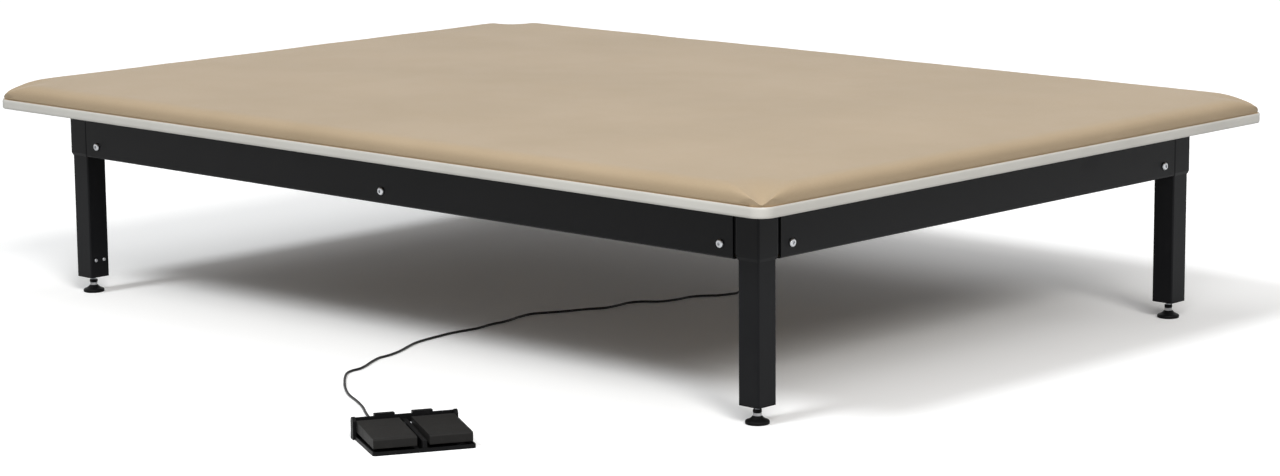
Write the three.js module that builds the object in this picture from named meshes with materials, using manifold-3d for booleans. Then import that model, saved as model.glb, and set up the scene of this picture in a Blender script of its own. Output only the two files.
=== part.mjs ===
// Powered treatment mat table with a twin foot pedal. Millimetres, +Z up, the floor at z = 0.
// The long side that carries the visible middle bolt faces -Y, and the pedal lies in front of it.
import * as THREE from 'three';
import { mergeVertices } from 'three/addons/utils/BufferGeometryUtils.js';
import Module from 'manifold-3d';

const wasm = await Module();
wasm.setup();

// Fits and cutting
const seat = 0.3; // gap between two pieces that touch
const slideGap = 0.3; // each side of a telescoping leg
const overrun = 2; // how far a cutting tool passes the face that it cuts

// Table top
const tableLength = 2134;
const tableWidth = 1524;
const tableCornerRadius = 32;
const undersideHeight = 395;
const panelThickness = 19.05;
const mouldingFace = 3.2;
const mouldingCrown = 0.9;
const barbThickness = 2.4;
const barbDepth = 9.5;
const barbTooth = 0.5;

// Cushion
const cushionHeight = 38;
const cushionShoulder = 34.5;
const cushionRoll = 46;
const cushionTuck = 1.6;
const cushionTuckHeight = 4;
const cushionCornerGain = 14;

// Frame
const endInset = 105; // frame inside the top's short edges
const sideInset = 109; // frame inside the top's long edges
const railHeight = 101.6;
const railDepth = 32;
const railWall = 3;
const railBend = 4.5;
const cornerGroove = 5.5;
const cornerTubeSize = 54;
const cornerTubeRadius = 4;
const cornerTubeChamfer = 6;
const cornerTubeTaper = 2;
const headPlate = 4;
const tongueThickness = 5;
const tongueHeight = 70;
const tongueLength = 78;
const tongueClearance = 6;
const memberWidth = 50;
const memberWall = 3;
const memberEndPlate = 6;
const memberEndWidth = 84;

// Rail bolts
const boltFromCorner = 89;
const boltFromRailBottom = 25;
const boltHeadRadius = 8;
const boltHeadHeight = 4.6;
const boltHeadRim = 1;
const boltShankRadius = 4;
const boltShankLength = 14;
const boltSocketRadius = 2.9;
const boltSocketDepth = 2.6;
const boltHoleClearance = 0.4;

// Telescoping legs
const legSize = 47.6;
const legWall = 1.65;
const legRadius = 3.2;
const legBottomHeight = 33.7;
const innerLegSize = 38.1;
const innerLegWall = 1.65;
const innerLegRadius = 3;
const innerLegBlock = 42;
const innerLegHeadroom = 30;
const bushLip = 2.5;
const bushLength = 90;
const liftTravel = 203;

// Lift cylinders
const barrelRadius = 13;
const barrelBore = 10;
const barrelGland = 12;
const barrelCap = 15;
const barrelClearance = 8;
const rodRadius = 7;
const rodRecess = 4;
const pistonHeight = 15;
const rodClearance = 0.3;

// Levelling feet
const footRadius = 22;
const footEdge = 6.8;
const footBevel = 1.6;
const footConeTop = 14.6;
const footNeckRadius = 8.6;
const footCollarRadius = 7;
const footCollarTop = 20.4;
const footNutRadius = 6.9;
const footNutTop = 26.6;
const studRadius = 5;
const studReach = 28;
const studClearance = 0.3;

// Power unit under the panel
const motorRadius = 33;
const motorLength = 150;
const motorCapRadius = 28;
const motorCapLength = 12;
const pumpWidth = 78;
const pumpLength = 64;
const pumpHeight = 74;
const reservoirWidth = 72;
const reservoirLength = 110;
const reservoirHeight = 70;
const reservoirCorner = 9;
const unitDrop = 6;
const unitFootWidth = 118;
const unitFootLength = 26;
const unitFootThickness = 5;
const unitGap = 42;

// Control box under the panel
const boxWidth = 176;
const boxLength = 112;
const boxHeight = 50;
const boxCorner = 8;
const boxEarLength = 14;
const boxEarThickness = 4;
const boxCentreX = 150;
const boxCentreY = 290;
const boxGlandInsetX = 56;
const boxGlandInsetY = 28;
const glandNutRadius = 9;
const glandNutHeight = 6;
const glandDomeRadius = 6.6;
const glandDomeHeight = 10;
const glandTipRadius = 4;

// Foot pedal
const pedalCentreX = 588;
const pedalReach = 476;
const pedalTurn = 61.5; // degrees from +X to the pedal's width
const trayWidth = 182;
const trayDepth = 146;
const trayFloor = 3;
const trayCorner = 6;
const trayRim = 2;
const trayRimHeight = 7;
const rearWallThickness = 4;
const rearWallHeight = 36.5;
const rearPostDepth = 17;
const rearPostWidth = 6;
const rearPostHeight = 39.5;
const dividerWidth = 8;
const dividerHeight = 29;
const dividerNose = 20;
const tabWidth = 36;
const tabCentre = 34;
const tabDepth = 11;
const tabHeight = 3.7;
const padWidth = 77;
const padGap = 22;
const padWall = 2.5;
const padFrontInset = 10;
const padFrontTop = 27;
const padRearTop = 33;
const padSkirt = 10.5;
const padRearSkirt = 14;
const padRound = 3.2;
const padRearGap = 9;
const hingeInset = 11.5;
const hingeHeight = 21;
const hingeRodRadius = 3;
const hingeClearance = 0.3;
const knuckleRadius = 6;
const knuckleWidth = 12;
const pedalGlandFromEnd = 56;
const pedalGlandHeight = 19;
const pedalGlandRadius = 6;
const pedalGlandFlange = 3;
const pedalGlandLength = 20;
const pedalGlandTip = 3.6;

// Cord
const cordDiameter = 5;
const cordSides = 8;
const cordSteps = 80;
const cordLeadLength = 8;

// Pressure lines: steel tube from the pump to each lift cylinder
const lineDiameter = 6.35;
const lineBend = 16;
const lineHoleGain = 1.5;
const linePortSpacing = 24;
const linePortRise = 20;
const lineBesideMember = 23;
const lineInMember = 8;
const lineMemberRise = 18.8; // over the underside of the rails
const lineMemberHole = 7;
const lineDescent = 110; // where a right line reaches the rail's flange
const lineFromRail = 22; // inside the long rails' outer face
const lineRiseFromTube = 15;
const lineBelowTop = 18;

// Mains inlet of the control box
const inletWidth = 30;
const inletHeight = 26;
const inletDepth = 16;
const inletFlange = 3;
const inletFlangeGrowth = 4;
const inletWall = 2.5;
const inletFloor = 3;
const inletPinHalf = 1;
const inletPinSpread = 7;
const inletPinReach = 12;

// Facets
const cornerSteps = 4;
const roundSegments = 20;
const smallRoundSegments = 16;
const boltSegments = 12;
const lineSides = 8;
const lineBendSteps = 3;
const hexSides = 6;

// Heights and places worked out from the sizes above
const panelTop = undersideHeight + panelThickness;
const railTop = undersideHeight - seat;
const railBottom = railTop - railHeight;
const boltHeight = railBottom + boltFromRailBottom;
const frameHalfX = tableLength / 2 - endInset;
const frameHalfY = tableWidth / 2 - sideInset;
const socketX = frameHalfX - cornerTubeSize / 2;
const socketY = frameHalfY - cornerTubeSize / 2;
const socketCeiling = railTop - headPlate;
const legTop = socketCeiling - seat;
const innerLegTop = legTop - innerLegHeadroom;
const blockTop = legBottomHeight + innerLegBlock;
const barrelBottom = blockTop + barrelClearance;
const hangingHeight = undersideHeight - seat;
const lineRadius = lineDiameter / 2;
const lineY = frameHalfY - lineFromRail;
const lineHeadHeight = railTop - lineBelowTop;
const quarterTurn = Math.PI / 2;
const pedalAngle = THREE.MathUtils.degToRad(pedalTurn);

const finishes = {
  vinyl: { color: 0xb9a58c, roughness: 0.55, metalness: 0 },
  moulding: { color: 0xcfcec6, roughness: 0.45, metalness: 0 },
  plywood: { color: 0xb58e60, roughness: 0.75, metalness: 0 },
  blackSteel: { color: 0x1d1f23, roughness: 0.5, metalness: 0.3 },
  brightSteel: { color: 0xb9bcc0, roughness: 0.3, metalness: 0.9 },
  blackPlastic: { color: 0x161616, roughness: 0.6, metalness: 0 },
  padPlastic: { color: 0x303030, roughness: 0.7, metalness: 0 },
  casting: { color: 0x8b9095, roughness: 0.45, metalness: 0.8 },
  cordJacket: { color: 0x121212, roughness: 0.5, metalness: 0 },
};

// Geometry helpers

function toSolid(geometry) {
  const bare = geometry.clone();
  bare.deleteAttribute('normal');
  bare.deleteAttribute('uv');
  const merged = mergeVertices(bare);
  const corners = merged.index.array;
  const kept = [];
  for (let i = 0; i < corners.length; i += 3) {
    const [a, b, c] = [corners[i], corners[i + 1], corners[i + 2]];
    if (a !== b && b !== c && c !== a) kept.push(a, b, c);
  }
  return new wasm.Manifold(new wasm.Mesh({
    numProp: 3,
    vertProperties: Float32Array.from(merged.attributes.position.array),
    triVerts: Uint32Array.from(kept),
  }));
}

function toGeometry(solid) {
  const mesh = solid.getMesh();
  const geometry = new THREE.BufferGeometry();
  geometry.setAttribute('position', new THREE.BufferAttribute(new Float32Array(mesh.vertProperties), 3));
  geometry.setIndex(new THREE.BufferAttribute(new Uint32Array(mesh.triVerts), 1));
  return geometry;
}

function join(first, ...others) {
  return toGeometry(others.reduce((sum, other) => sum.add(toSolid(other)), toSolid(first)));
}

function cut(body, ...tools) {
  return toGeometry(tools.reduce((rest, tool) => rest.subtract(toSolid(tool)), toSolid(body)));
}

// A box given by its lowest and highest corners.
function block(low, high) {
  const size = high.map((value, axis) => value - low[axis]);
  const geometry = new THREE.BoxGeometry(...size);
  geometry.translate(...high.map((value, axis) => (value + low[axis]) / 2));
  return geometry;
}

// A solid of revolution about Z from points [radius, height], listed with the material on their left.
function revolve(points, segments = roundSegments) {
  const profile = points.map(([radius, height]) => new THREE.Vector2(radius, height));
  return new THREE.LatheGeometry(profile, segments).rotateX(quarterTurn);
}

// A round bar along Z.
function bar(radius, bottom, top, segments = roundSegments) {
  return revolve([[0, bottom], [radius, bottom], [radius, top], [0, top]], segments);
}

// The corners of a rectangle with rounded corners, counter-clockwise seen from above.
function roundedLoop(halfX, halfY, radius, height, arcSteps = cornerSteps, sideSteps = 1) {
  const points = [];
  for (let corner = 0; corner < 4; corner += 1) {
    const signX = corner === 0 || corner === 3 ? 1 : -1;
    const signY = corner < 2 ? 1 : -1;
    const centre = [signX * (halfX - radius), signY * (halfY - radius)];
    for (let step = 0; step <= arcSteps; step += 1) {
      const angle = (corner + step / arcSteps) * quarterTurn;
      points.push([centre[0] + radius * Math.cos(angle), centre[1] + radius * Math.sin(angle), height]);
    }
    const from = points[points.length - 1];
    const next = (corner + 1) % 4;
    const nextX = (next === 0 || next === 3 ? 1 : -1) * (halfX - radius);
    const nextY = (next < 2 ? 1 : -1) * (halfY - radius);
    const turned = next * quarterTurn;
    const to = [nextX + radius * Math.cos(turned), nextY + radius * Math.sin(turned)];
    for (let step = 1; step < sideSteps; step += 1) {
      const share = step / sideSteps;
      points.push([from[0] + (to[0] - from[0]) * share, from[1] + (to[1] - from[1]) * share, height]);
    }
  }
  return points;
}

// Skin over loops of equal length. An open stack is capped at its two ends, a ring closes on itself.
function loft(loops, ring = false) {
  const count = loops[0].length;
  const positions = loops.flat(2);
  const triangles = [];
  const bands = ring ? loops.length : loops.length - 1;
  for (let band = 0; band < bands; band += 1) {
    const lower = band * count;
    const upper = ((band + 1) % loops.length) * count;
    for (let i = 0; i < count; i += 1) {
      const j = (i + 1) % count;
      triangles.push(lower + i, lower + j, upper + j, lower + i, upper + j, upper + i);
    }
  }
  if (!ring) {
    const caps = [[0, true], [loops.length - 1, false]];
    for (const [level, facingDown] of caps) {
      const loop = loops[level];
      const hub = positions.length / 3;
      const sum = loop.reduce((total, point) => total.map((value, axis) => value + point[axis]), [0, 0, 0]);
      positions.push(...sum.map((value) => value / count));
      for (let i = 0; i < count; i += 1) {
        const [a, b] = [level * count + i, level * count + ((i + 1) % count)];
        triangles.push(hub, facingDown ? b : a, facingDown ? a : b);
      }
    }
  }
  const geometry = new THREE.BufferGeometry();
  geometry.setAttribute('position', new THREE.Float32BufferAttribute(positions, 3));
  geometry.setIndex(triangles);
  return geometry;
}

// A round bar along a line of stations, its section square to the line at each of them.
function sweep(stations, radius, sides) {
  const points = stations.map((station) => new THREE.Vector3(...station));
  const across = new THREE.Vector3(0, 0, 1);
  const loops = points.map((point, index) => {
    const before = points[Math.max(index - 1, 0)];
    const after = points[Math.min(index + 1, points.length - 1)];
    const along = after.clone().sub(before).normalize();
    across.addScaledVector(along, -across.dot(along)).normalize();
    const beside = along.clone().cross(across);
    const loop = [];
    for (let i = 0; i < sides; i += 1) {
      const angle = (i / sides) * 2 * Math.PI;
      const spot = point.clone()
        .addScaledVector(across, radius * Math.cos(angle))
        .addScaledVector(beside, radius * Math.sin(angle));
      loop.push(spot.toArray());
    }
    return loop;
  });
  return loft(loops);
}

// Gives each inner corner of a line a bend that starts the same distance before and after it.
function bentLine(corners, bend, steps) {
  const points = corners.map((corner) => new THREE.Vector3(...corner));
  const line = [corners[0]];
  for (let i = 1; i < points.length - 1; i += 1) {
    const into = points[i].clone().sub(points[i - 1]).normalize();
    const out = points[i + 1].clone().sub(points[i]).normalize();
    const start = points[i].clone().addScaledVector(into, -bend);
    const end = points[i].clone().addScaledVector(out, bend);
    for (let step = 0; step <= steps; step += 1) {
      const share = step / steps;
      const first = start.clone().lerp(points[i], share);
      const second = points[i].clone().lerp(end, share);
      line.push(first.lerp(second, share).toArray());
    }
  }
  line.push(corners[corners.length - 1]);
  return line;
}

function squareLoop(size, radius, height) {
  return roundedLoop(size / 2, size / 2, radius, height);
}

function finishedMesh(name, geometry, finish) {
  const mesh = new THREE.Mesh(geometry, new THREE.MeshStandardMaterial(finishes[finish]));
  mesh.name = name;
  return mesh;
}

// Table top

// A loop that lies a given distance inside the edge of the top.
function topLoop(inset, height, radiusGain = 0, arcSteps = 6, sideSteps = 1) {
  const radius = Math.max(tableCornerRadius - inset, tableCornerRadius / 4) + radiusGain;
  return roundedLoop(tableLength / 2 - inset, tableWidth / 2 - inset, radius, height, arcSteps, sideSteps);
}

function topPanel() {
  const edge = mouldingFace + seat;
  const kerf = mouldingFace + barbDepth + seat;
  const middle = undersideHeight + panelThickness / 2;
  const halfKerf = barbThickness / 2 + barbTooth + seat;
  return loft([
    topLoop(edge, undersideHeight),
    topLoop(edge, middle - halfKerf),
    topLoop(kerf, middle - halfKerf),
    topLoop(kerf, middle + halfKerf),
    topLoop(edge, middle + halfKerf),
    topLoop(edge, panelTop),
  ]);
}

function edgeMoulding() {
  const middle = undersideHeight + panelThickness / 2;
  const halfBarb = barbThickness / 2;
  const toothStart = mouldingFace + barbDepth * 0.55;
  const crownShares = [0, 0.12, 0.5, 0.88, 1];
  const face = crownShares.map((share) => {
    const fromMiddle = 2 * share - 1;
    return topLoop(mouldingCrown * fromMiddle ** 4, undersideHeight + panelThickness * share);
  });
  return loft([
    ...face,
    topLoop(mouldingFace, panelTop),
    topLoop(mouldingFace, middle + halfBarb),
    topLoop(toothStart, middle + halfBarb),
    topLoop(toothStart, middle + halfBarb + barbTooth),
    topLoop(mouldingFace + barbDepth, middle + halfBarb / 2),
    topLoop(mouldingFace + barbDepth, middle - halfBarb / 2),
    topLoop(toothStart, middle - halfBarb - barbTooth),
    topLoop(toothStart, middle - halfBarb),
    topLoop(mouldingFace, middle - halfBarb),
    topLoop(mouldingFace, undersideHeight),
  ], true);
}

// Foam and vinyl: tucked in at the moulding, rolled over along the sides and crowned to the middle.
function cushion() {
  const base = panelTop + seat;
  const rollSteps = 8;
  const crownShares = [0.12, 0.3, 0.55, 0.85];
  const middleInset = tableWidth / 2 - tableCornerRadius;
  const arcSteps = 6;
  const sideSteps = 5;
  const ringAt = (inset, height, gain) => topLoop(mouldingFace + inset, base + height, gain, arcSteps, sideSteps);
  const loops = [ringAt(cushionTuck, 0, 0)];
  for (let step = 0; step <= rollSteps; step += 1) {
    const angle = (step / rollSteps) * quarterTurn;
    const inset = cushionRoll * (1 - Math.cos(angle));
    const rise = cushionTuckHeight + (cushionShoulder - cushionTuckHeight) * Math.sin(angle);
    loops.push(ringAt(inset, rise, cushionCornerGain * Math.sin(angle)));
  }
  for (const share of crownShares) {
    const inset = cushionRoll + (middleInset - cushionRoll) * share;
    const rise = cushionShoulder + (cushionHeight - cushionShoulder) * (1 - (1 - share) ** 2);
    loops.push(ringAt(inset, rise, cushionCornerGain));
  }
  const geometry = loft(loops);
  return geometry;
}

// Frame

function channelShape() {
  const shape = new THREE.Shape();
  const [depth, height, wall, bend] = [railDepth, railHeight, railWall, railBend];
  shape.moveTo(depth, 0);
  shape.lineTo(depth, wall);
  shape.lineTo(bend, wall);
  shape.absarc(bend, bend, bend - wall, -quarterTurn, -2 * quarterTurn, true);
  shape.lineTo(wall, height - bend);
  shape.absarc(bend, height - bend, bend - wall, 2 * quarterTurn, quarterTurn, true);
  shape.lineTo(depth, height - wall);
  shape.lineTo(depth, height);
  shape.lineTo(bend, height);
  shape.absarc(bend, height - bend, bend, quarterTurn, 2 * quarterTurn, false);
  shape.lineTo(0, bend);
  shape.absarc(bend, bend, bend, 2 * quarterTurn, 3 * quarterTurn, false);
  return shape;
}

// Turns an outline drawn in depth and height into a bar along X, its outer face at y = 0.
function alongX(shape, length, curveSegments) {
  const geometry = new THREE.ExtrudeGeometry(shape, { depth: length, bevelEnabled: false, curveSegments });
  const basis = new THREE.Matrix4().makeBasis(
    new THREE.Vector3(0, 1, 0),
    new THREE.Vector3(0, 0, 1),
    new THREE.Vector3(1, 0, 0),
  );
  return geometry.applyMatrix4(basis);
}

// A hole along Y at the height of the bolts.
function boltHole(x, from, to) {
  const drill = bar(boltShankRadius + boltHoleClearance, from, to, smallRoundSegments);
  return drill.rotateX(-quarterTurn).translate(x, 0, boltFromRailBottom);
}

// A rail along X, outer face at y = 0 and underside at z = 0, with the given gaps to the corner tubes.
function rail(halfLength, lowGap, highGap, withMember) {
  const start = -halfLength + cornerTubeSize + lowGap;
  const end = halfLength - cornerTubeSize - highGap;
  const channel = alongX(channelShape(), end - start, 3).translate(start, 0, 0);
  const boltX = halfLength - boltFromCorner;
  const places = withMember ? [-boltX, 0, boltX] : [-boltX, boltX];
  const tools = places.map((x) => boltHole(x, -overrun, railWall + overrun));
  if (withMember) {
    const half = memberWidth / 2 + seat;
    tools.push(block([-half, railWall, railHeight / 2], [half, railDepth + overrun, railHeight + overrun]));
  }
  return cut(channel, ...tools);
}

// A hole along X for a pressure line, through the wall that lies on the -X side of a leg or tube.
function lineHole(size, height) {
  const hole = bar(lineRadius + lineHoleGain, -size / 2 - overrun, -size / 2 + overrun * 3, boltSegments);
  return hole.rotateY(quarterTurn).translate(0, 0, height);
}

// A socket for one leg with its head plate, and two tongues that the rails bolt to. Outer corner at +X, -Y.
// The pressure line comes in on the -X side, or on the +Y side where the tube is turned by an odd quarter.
function cornerTube(oddTurn) {
  const inner = legSize + 2 * seat;
  const innerRadius = legRadius + seat;
  const half = cornerTubeSize / 2;
  const wall = (cornerTubeSize - inner) / 2;
  const mouth = cornerTubeSize - 2 * cornerTubeTaper;
  const socket = loft([
    squareLoop(inner, innerRadius, socketCeiling - railBottom),
    squareLoop(inner, innerRadius, 0),
    squareLoop(mouth, cornerTubeRadius, 0),
    squareLoop(cornerTubeSize, cornerTubeRadius, cornerTubeChamfer),
    squareLoop(cornerTubeSize, cornerTubeRadius, railHeight),
  ]);
  const back = half - railWall - seat;
  const low = railWall + tongueClearance;
  const tip = -half - tongueLength;
  const holeX = half - boltFromCorner;
  const alongFront = cut(
    block([tip, -back, low], [-half + wall / 2, -back + tongueThickness, low + tongueHeight]),
    boltHole(holeX, -half, half),
  );
  const alongSide = alongFront.clone().applyMatrix4(new THREE.Matrix4().makeScale(-1, 1, 1));
  alongSide.setIndex(Array.from(alongSide.index.array).reverse());
  alongSide.rotateZ(quarterTurn);
  const entry = lineHole(cornerTubeSize, lineHeadHeight - railBottom).rotateZ(oddTurn ? -quarterTurn : 0);
  return cut(join(socket, alongFront, alongSide), entry);
}

// An open channel across the table, with end plates that bolt to the long rails.
function crossMember() {
  const bottom = railBend + seat;
  const reach = frameHalfY - railWall - seat;
  const half = memberWidth / 2;
  const top = railHeight;
  const body = block([-half, -reach, bottom], [half, reach, top]);
  const hollow = block(
    [-half - overrun, -reach + memberEndPlate, bottom + memberWall],
    [half - memberWall, reach - memberEndPlate, top - memberWall],
  );
  const channel = cut(body, hollow);
  const halfPlate = memberEndWidth / 2;
  const plateTop = railHeight - bottom;
  const plates = [-1, 1].map((side) => block(
    [-halfPlate, Math.min(side * reach, side * (reach - memberEndPlate)), bottom],
    [halfPlate, Math.max(side * reach, side * (reach - memberEndPlate)), plateTop],
  ));
  const joined = join(channel, ...plates);
  const webShare = (half - lineInMember) / (lineDescent - lineInMember);
  const holeHeight = lineMemberRise + (railWall + seat + lineRadius - lineMemberRise) * webShare;
  const lineHoles = [-1, 1].map((side) => (
    bar(lineMemberHole, half - memberWall - overrun, half + overrun, boltSegments)
      .rotateY(quarterTurn)
      .translate(0, side * lineY, holeHeight)
  ));
  return cut(joined, boltHole(0, -reach - overrun, reach + overrun), ...lineHoles);
}

// A button-head bolt along -Y, the underside of its head at y = 0.
function railBolt() {
  const head = boltHeadHeight;
  const domeSteps = 4;
  const profile = [[0, -boltShankLength], [boltShankRadius, -boltShankLength], [boltShankRadius, 0]];
  profile.push([boltHeadRadius, 0]);
  for (let step = 0; step <= domeSteps; step += 1) {
    const angle = (step / domeSteps) * quarterTurn;
    const radius = boltSocketRadius * 1.3 + (boltHeadRadius - boltSocketRadius * 1.3) * Math.cos(angle);
    profile.push([radius, boltHeadRim + (head - boltHeadRim) * Math.sin(angle)]);
  }
  profile.push([0, head]);
  const socket = bar(boltSocketRadius, head - boltSocketDepth, head + overrun, hexSides);
  return cut(revolve(profile, boltSegments), socket).rotateX(quarterTurn);
}

// Telescoping legs

// The pressure line comes in through the wall that faces the middle of the table.
function leg(sideX) {
  const bottom = legBottomHeight + bushLip + seat;
  const inner = legSize - 2 * legWall;
  const innerRadius = legRadius - legWall;
  const tube = loft([
    squareLoop(legSize, legRadius, bottom),
    squareLoop(legSize, legRadius, legTop),
    squareLoop(inner, innerRadius, legTop),
    squareLoop(inner, innerRadius, bottom),
  ], true);
  return cut(tube, lineHole(legSize, lineHeadHeight).rotateZ(sideX > 0 ? 0 : 2 * quarterTurn));
}

function glideBush() {
  const sleeve = legSize - 2 * (legWall + seat);
  const bore = innerLegSize + 2 * slideGap;
  const top = legBottomHeight + bushLength;
  const shoulder = legBottomHeight + bushLip;
  const sleeveRadius = legRadius - legWall - seat;
  const boreRadius = innerLegRadius + slideGap;
  return loft([
    squareLoop(legSize, legRadius, legBottomHeight),
    squareLoop(legSize, legRadius, shoulder),
    squareLoop(sleeve, sleeveRadius, shoulder),
    squareLoop(sleeve, sleeveRadius, top),
    squareLoop(bore, boreRadius, top),
    squareLoop(bore, boreRadius, legBottomHeight),
  ], true);
}

function innerLeg() {
  const inner = innerLegSize - 2 * innerLegWall;
  const innerRadius = innerLegRadius - innerLegWall;
  const tube = loft([
    squareLoop(innerLegSize, innerLegRadius, legBottomHeight),
    squareLoop(innerLegSize, innerLegRadius, innerLegTop),
    squareLoop(inner, innerRadius, innerLegTop),
    squareLoop(inner, innerRadius, blockTop),
  ]);
  const tapping = bar(
    studRadius + studClearance,
    legBottomHeight - overrun,
    legBottomHeight + studReach + overrun,
    smallRoundSegments,
  );
  const recess = bar(rodRadius + seat, blockTop - rodRecess, blockTop + overrun, smallRoundSegments);
  return cut(tube, tapping, recess);
}

function liftCylinder() {
  const boreTop = legTop - barrelCap;
  return revolve([
    [0, boreTop],
    [barrelBore, boreTop],
    [barrelBore, barrelBottom + barrelGland],
    [rodRadius + rodClearance, barrelBottom + barrelGland],
    [rodRadius + rodClearance, barrelBottom],
    [barrelRadius, barrelBottom],
    [barrelRadius, legTop],
    [0, legTop],
  ]);
}

function pistonRod() {
  const pistonTop = legTop - barrelCap - overrun;
  return revolve([
    [0, blockTop - rodRecess + seat],
    [rodRadius, blockTop - rodRecess + seat],
    [rodRadius, pistonTop - pistonHeight],
    [barrelBore - rodClearance, pistonTop - pistonHeight],
    [barrelBore - rodClearance, pistonTop],
    [0, pistonTop],
  ], smallRoundSegments);
}

// Moulded base, zinc collar, hexagon and stud in one turned piece.
function levellingFoot() {
  const base = revolve([
    [0, 0],
    [footRadius - footBevel, 0],
    [footRadius, footBevel],
    [footRadius, footEdge - footBevel],
    [footRadius - footBevel, footEdge],
    [(footRadius + footNeckRadius) / 2, (footEdge + footConeTop) / 2 + footBevel / 2],
    [footNeckRadius, footConeTop],
    [footCollarRadius, footConeTop],
    [footCollarRadius, footCollarTop],
    [studRadius, footCollarTop],
    [studRadius, legBottomHeight + studReach],
    [0, legBottomHeight + studReach],
  ]);
  const nut = bar(footNutRadius, footCollarTop - seat, footNutTop, hexSides);
  return join(base, nut);
}

// Power unit and control box

// A box with rounded upright edges, given by its size and the centre of its underside.
function roundedBox(sizeX, sizeY, height, radius) {
  return loft([
    roundedLoop(sizeX / 2, sizeY / 2, radius, 0),
    roundedLoop(sizeX / 2, sizeY / 2, radius, height),
  ]);
}

// Motor, pump block and reservoir in line along Y, on two feet against the panel.
function powerUnit() {
  const pump = roundedBox(pumpWidth, pumpLength, pumpHeight, reservoirCorner / 2);
  pump.translate(0, 0, -pumpHeight - unitDrop);
  const motorAxis = -unitDrop - pumpHeight / 2;
  const motorEnd = pumpLength / 2 + motorLength;
  const motor = revolve([
    [0, 0],
    [motorRadius, 0],
    [motorRadius, motorEnd - motorCapLength],
    [motorCapRadius, motorEnd],
    [0, motorEnd],
  ]).rotateX(-quarterTurn).translate(0, 0, motorAxis);
  const reservoir = roundedBox(reservoirWidth, reservoirLength + overrun, reservoirHeight, reservoirCorner);
  const reservoirY = -(pumpLength + reservoirLength) / 2 + overrun;
  reservoir.translate(0, reservoirY, motorAxis - reservoirHeight / 2);
  const feetY = [motorEnd - motorCapLength - unitFootLength, -pumpLength / 2 - reservoirLength / 2];
  const feet = feetY.flatMap((y) => [
    block(
      [-unitFootWidth / 2, y - unitFootLength / 2, -unitFootThickness],
      [unitFootWidth / 2, y + unitFootLength / 2, 0],
    ),
    block(
      [-unitFootThickness * 2, y - unitFootLength / 2, motorAxis],
      [unitFootThickness * 2, y + unitFootLength / 2, -unitFootThickness / 2],
    ),
  ]);
  return join(pump, motor, reservoir, ...feet);
}

function controlBox() {
  const body = roundedBox(boxWidth, boxLength, boxHeight, boxCorner).translate(0, 0, -boxHeight);
  const ears = roundedBox(boxWidth + 2 * boxEarLength, boxLength / 2, boxEarThickness, boxCorner / 2);
  return join(body, ears.translate(0, 0, -boxEarThickness));
}

// A cable gland that hangs from z = 0.
function boxGland() {
  const bottom = -glandNutHeight - glandDomeHeight;
  const dome = revolve([
    [0, bottom],
    [glandTipRadius, bottom],
    [glandDomeRadius, bottom + glandDomeHeight / 2],
    [glandDomeRadius, -glandNutHeight / 2],
    [0, -glandNutHeight / 2],
  ], smallRoundSegments);
  return join(dome, bar(glandNutRadius, -glandNutHeight, 0, hexSides));
}

// A three-pin inlet that points to +X, its flange at x = 0 and its middle at the origin.
function mainsInlet() {
  const [halfY, halfZ] = [inletWidth / 2, inletHeight / 2];
  const growth = inletFlangeGrowth;
  const flange = block([0, -halfY - growth, -halfZ - growth], [inletFlange, halfY + growth, halfZ + growth]);
  const body = block([inletFlange / 2, -halfY, -halfZ], [inletDepth, halfY, halfZ]);
  const well = block(
    [inletFloor, -halfY + inletWall, -halfZ + inletWall],
    [inletDepth + overrun, halfY - inletWall, halfZ - inletWall],
  );
  const pins = [-1, 0, 1].map((place) => block(
    [inletFloor / 2, place * inletPinSpread - inletPinHalf, -inletPinHalf * 2],
    [inletPinReach, place * inletPinSpread + inletPinHalf, inletPinHalf * 2],
  ));
  return join(cut(join(flange, body), well), ...pins);
}

// Foot pedal, drawn with its width along X and its rear towards +Y

const trayHalfWidth = trayWidth / 2;
const trayHalfDepth = trayDepth / 2;
const hingeY = trayHalfDepth - hingeInset;
const padInner = padGap / 2;
const padOuter = padInner + padWidth;

function barAlongX(radius, from, to, segments = smallRoundSegments) {
  return bar(radius, from, to, segments).rotateY(quarterTurn);
}

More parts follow.
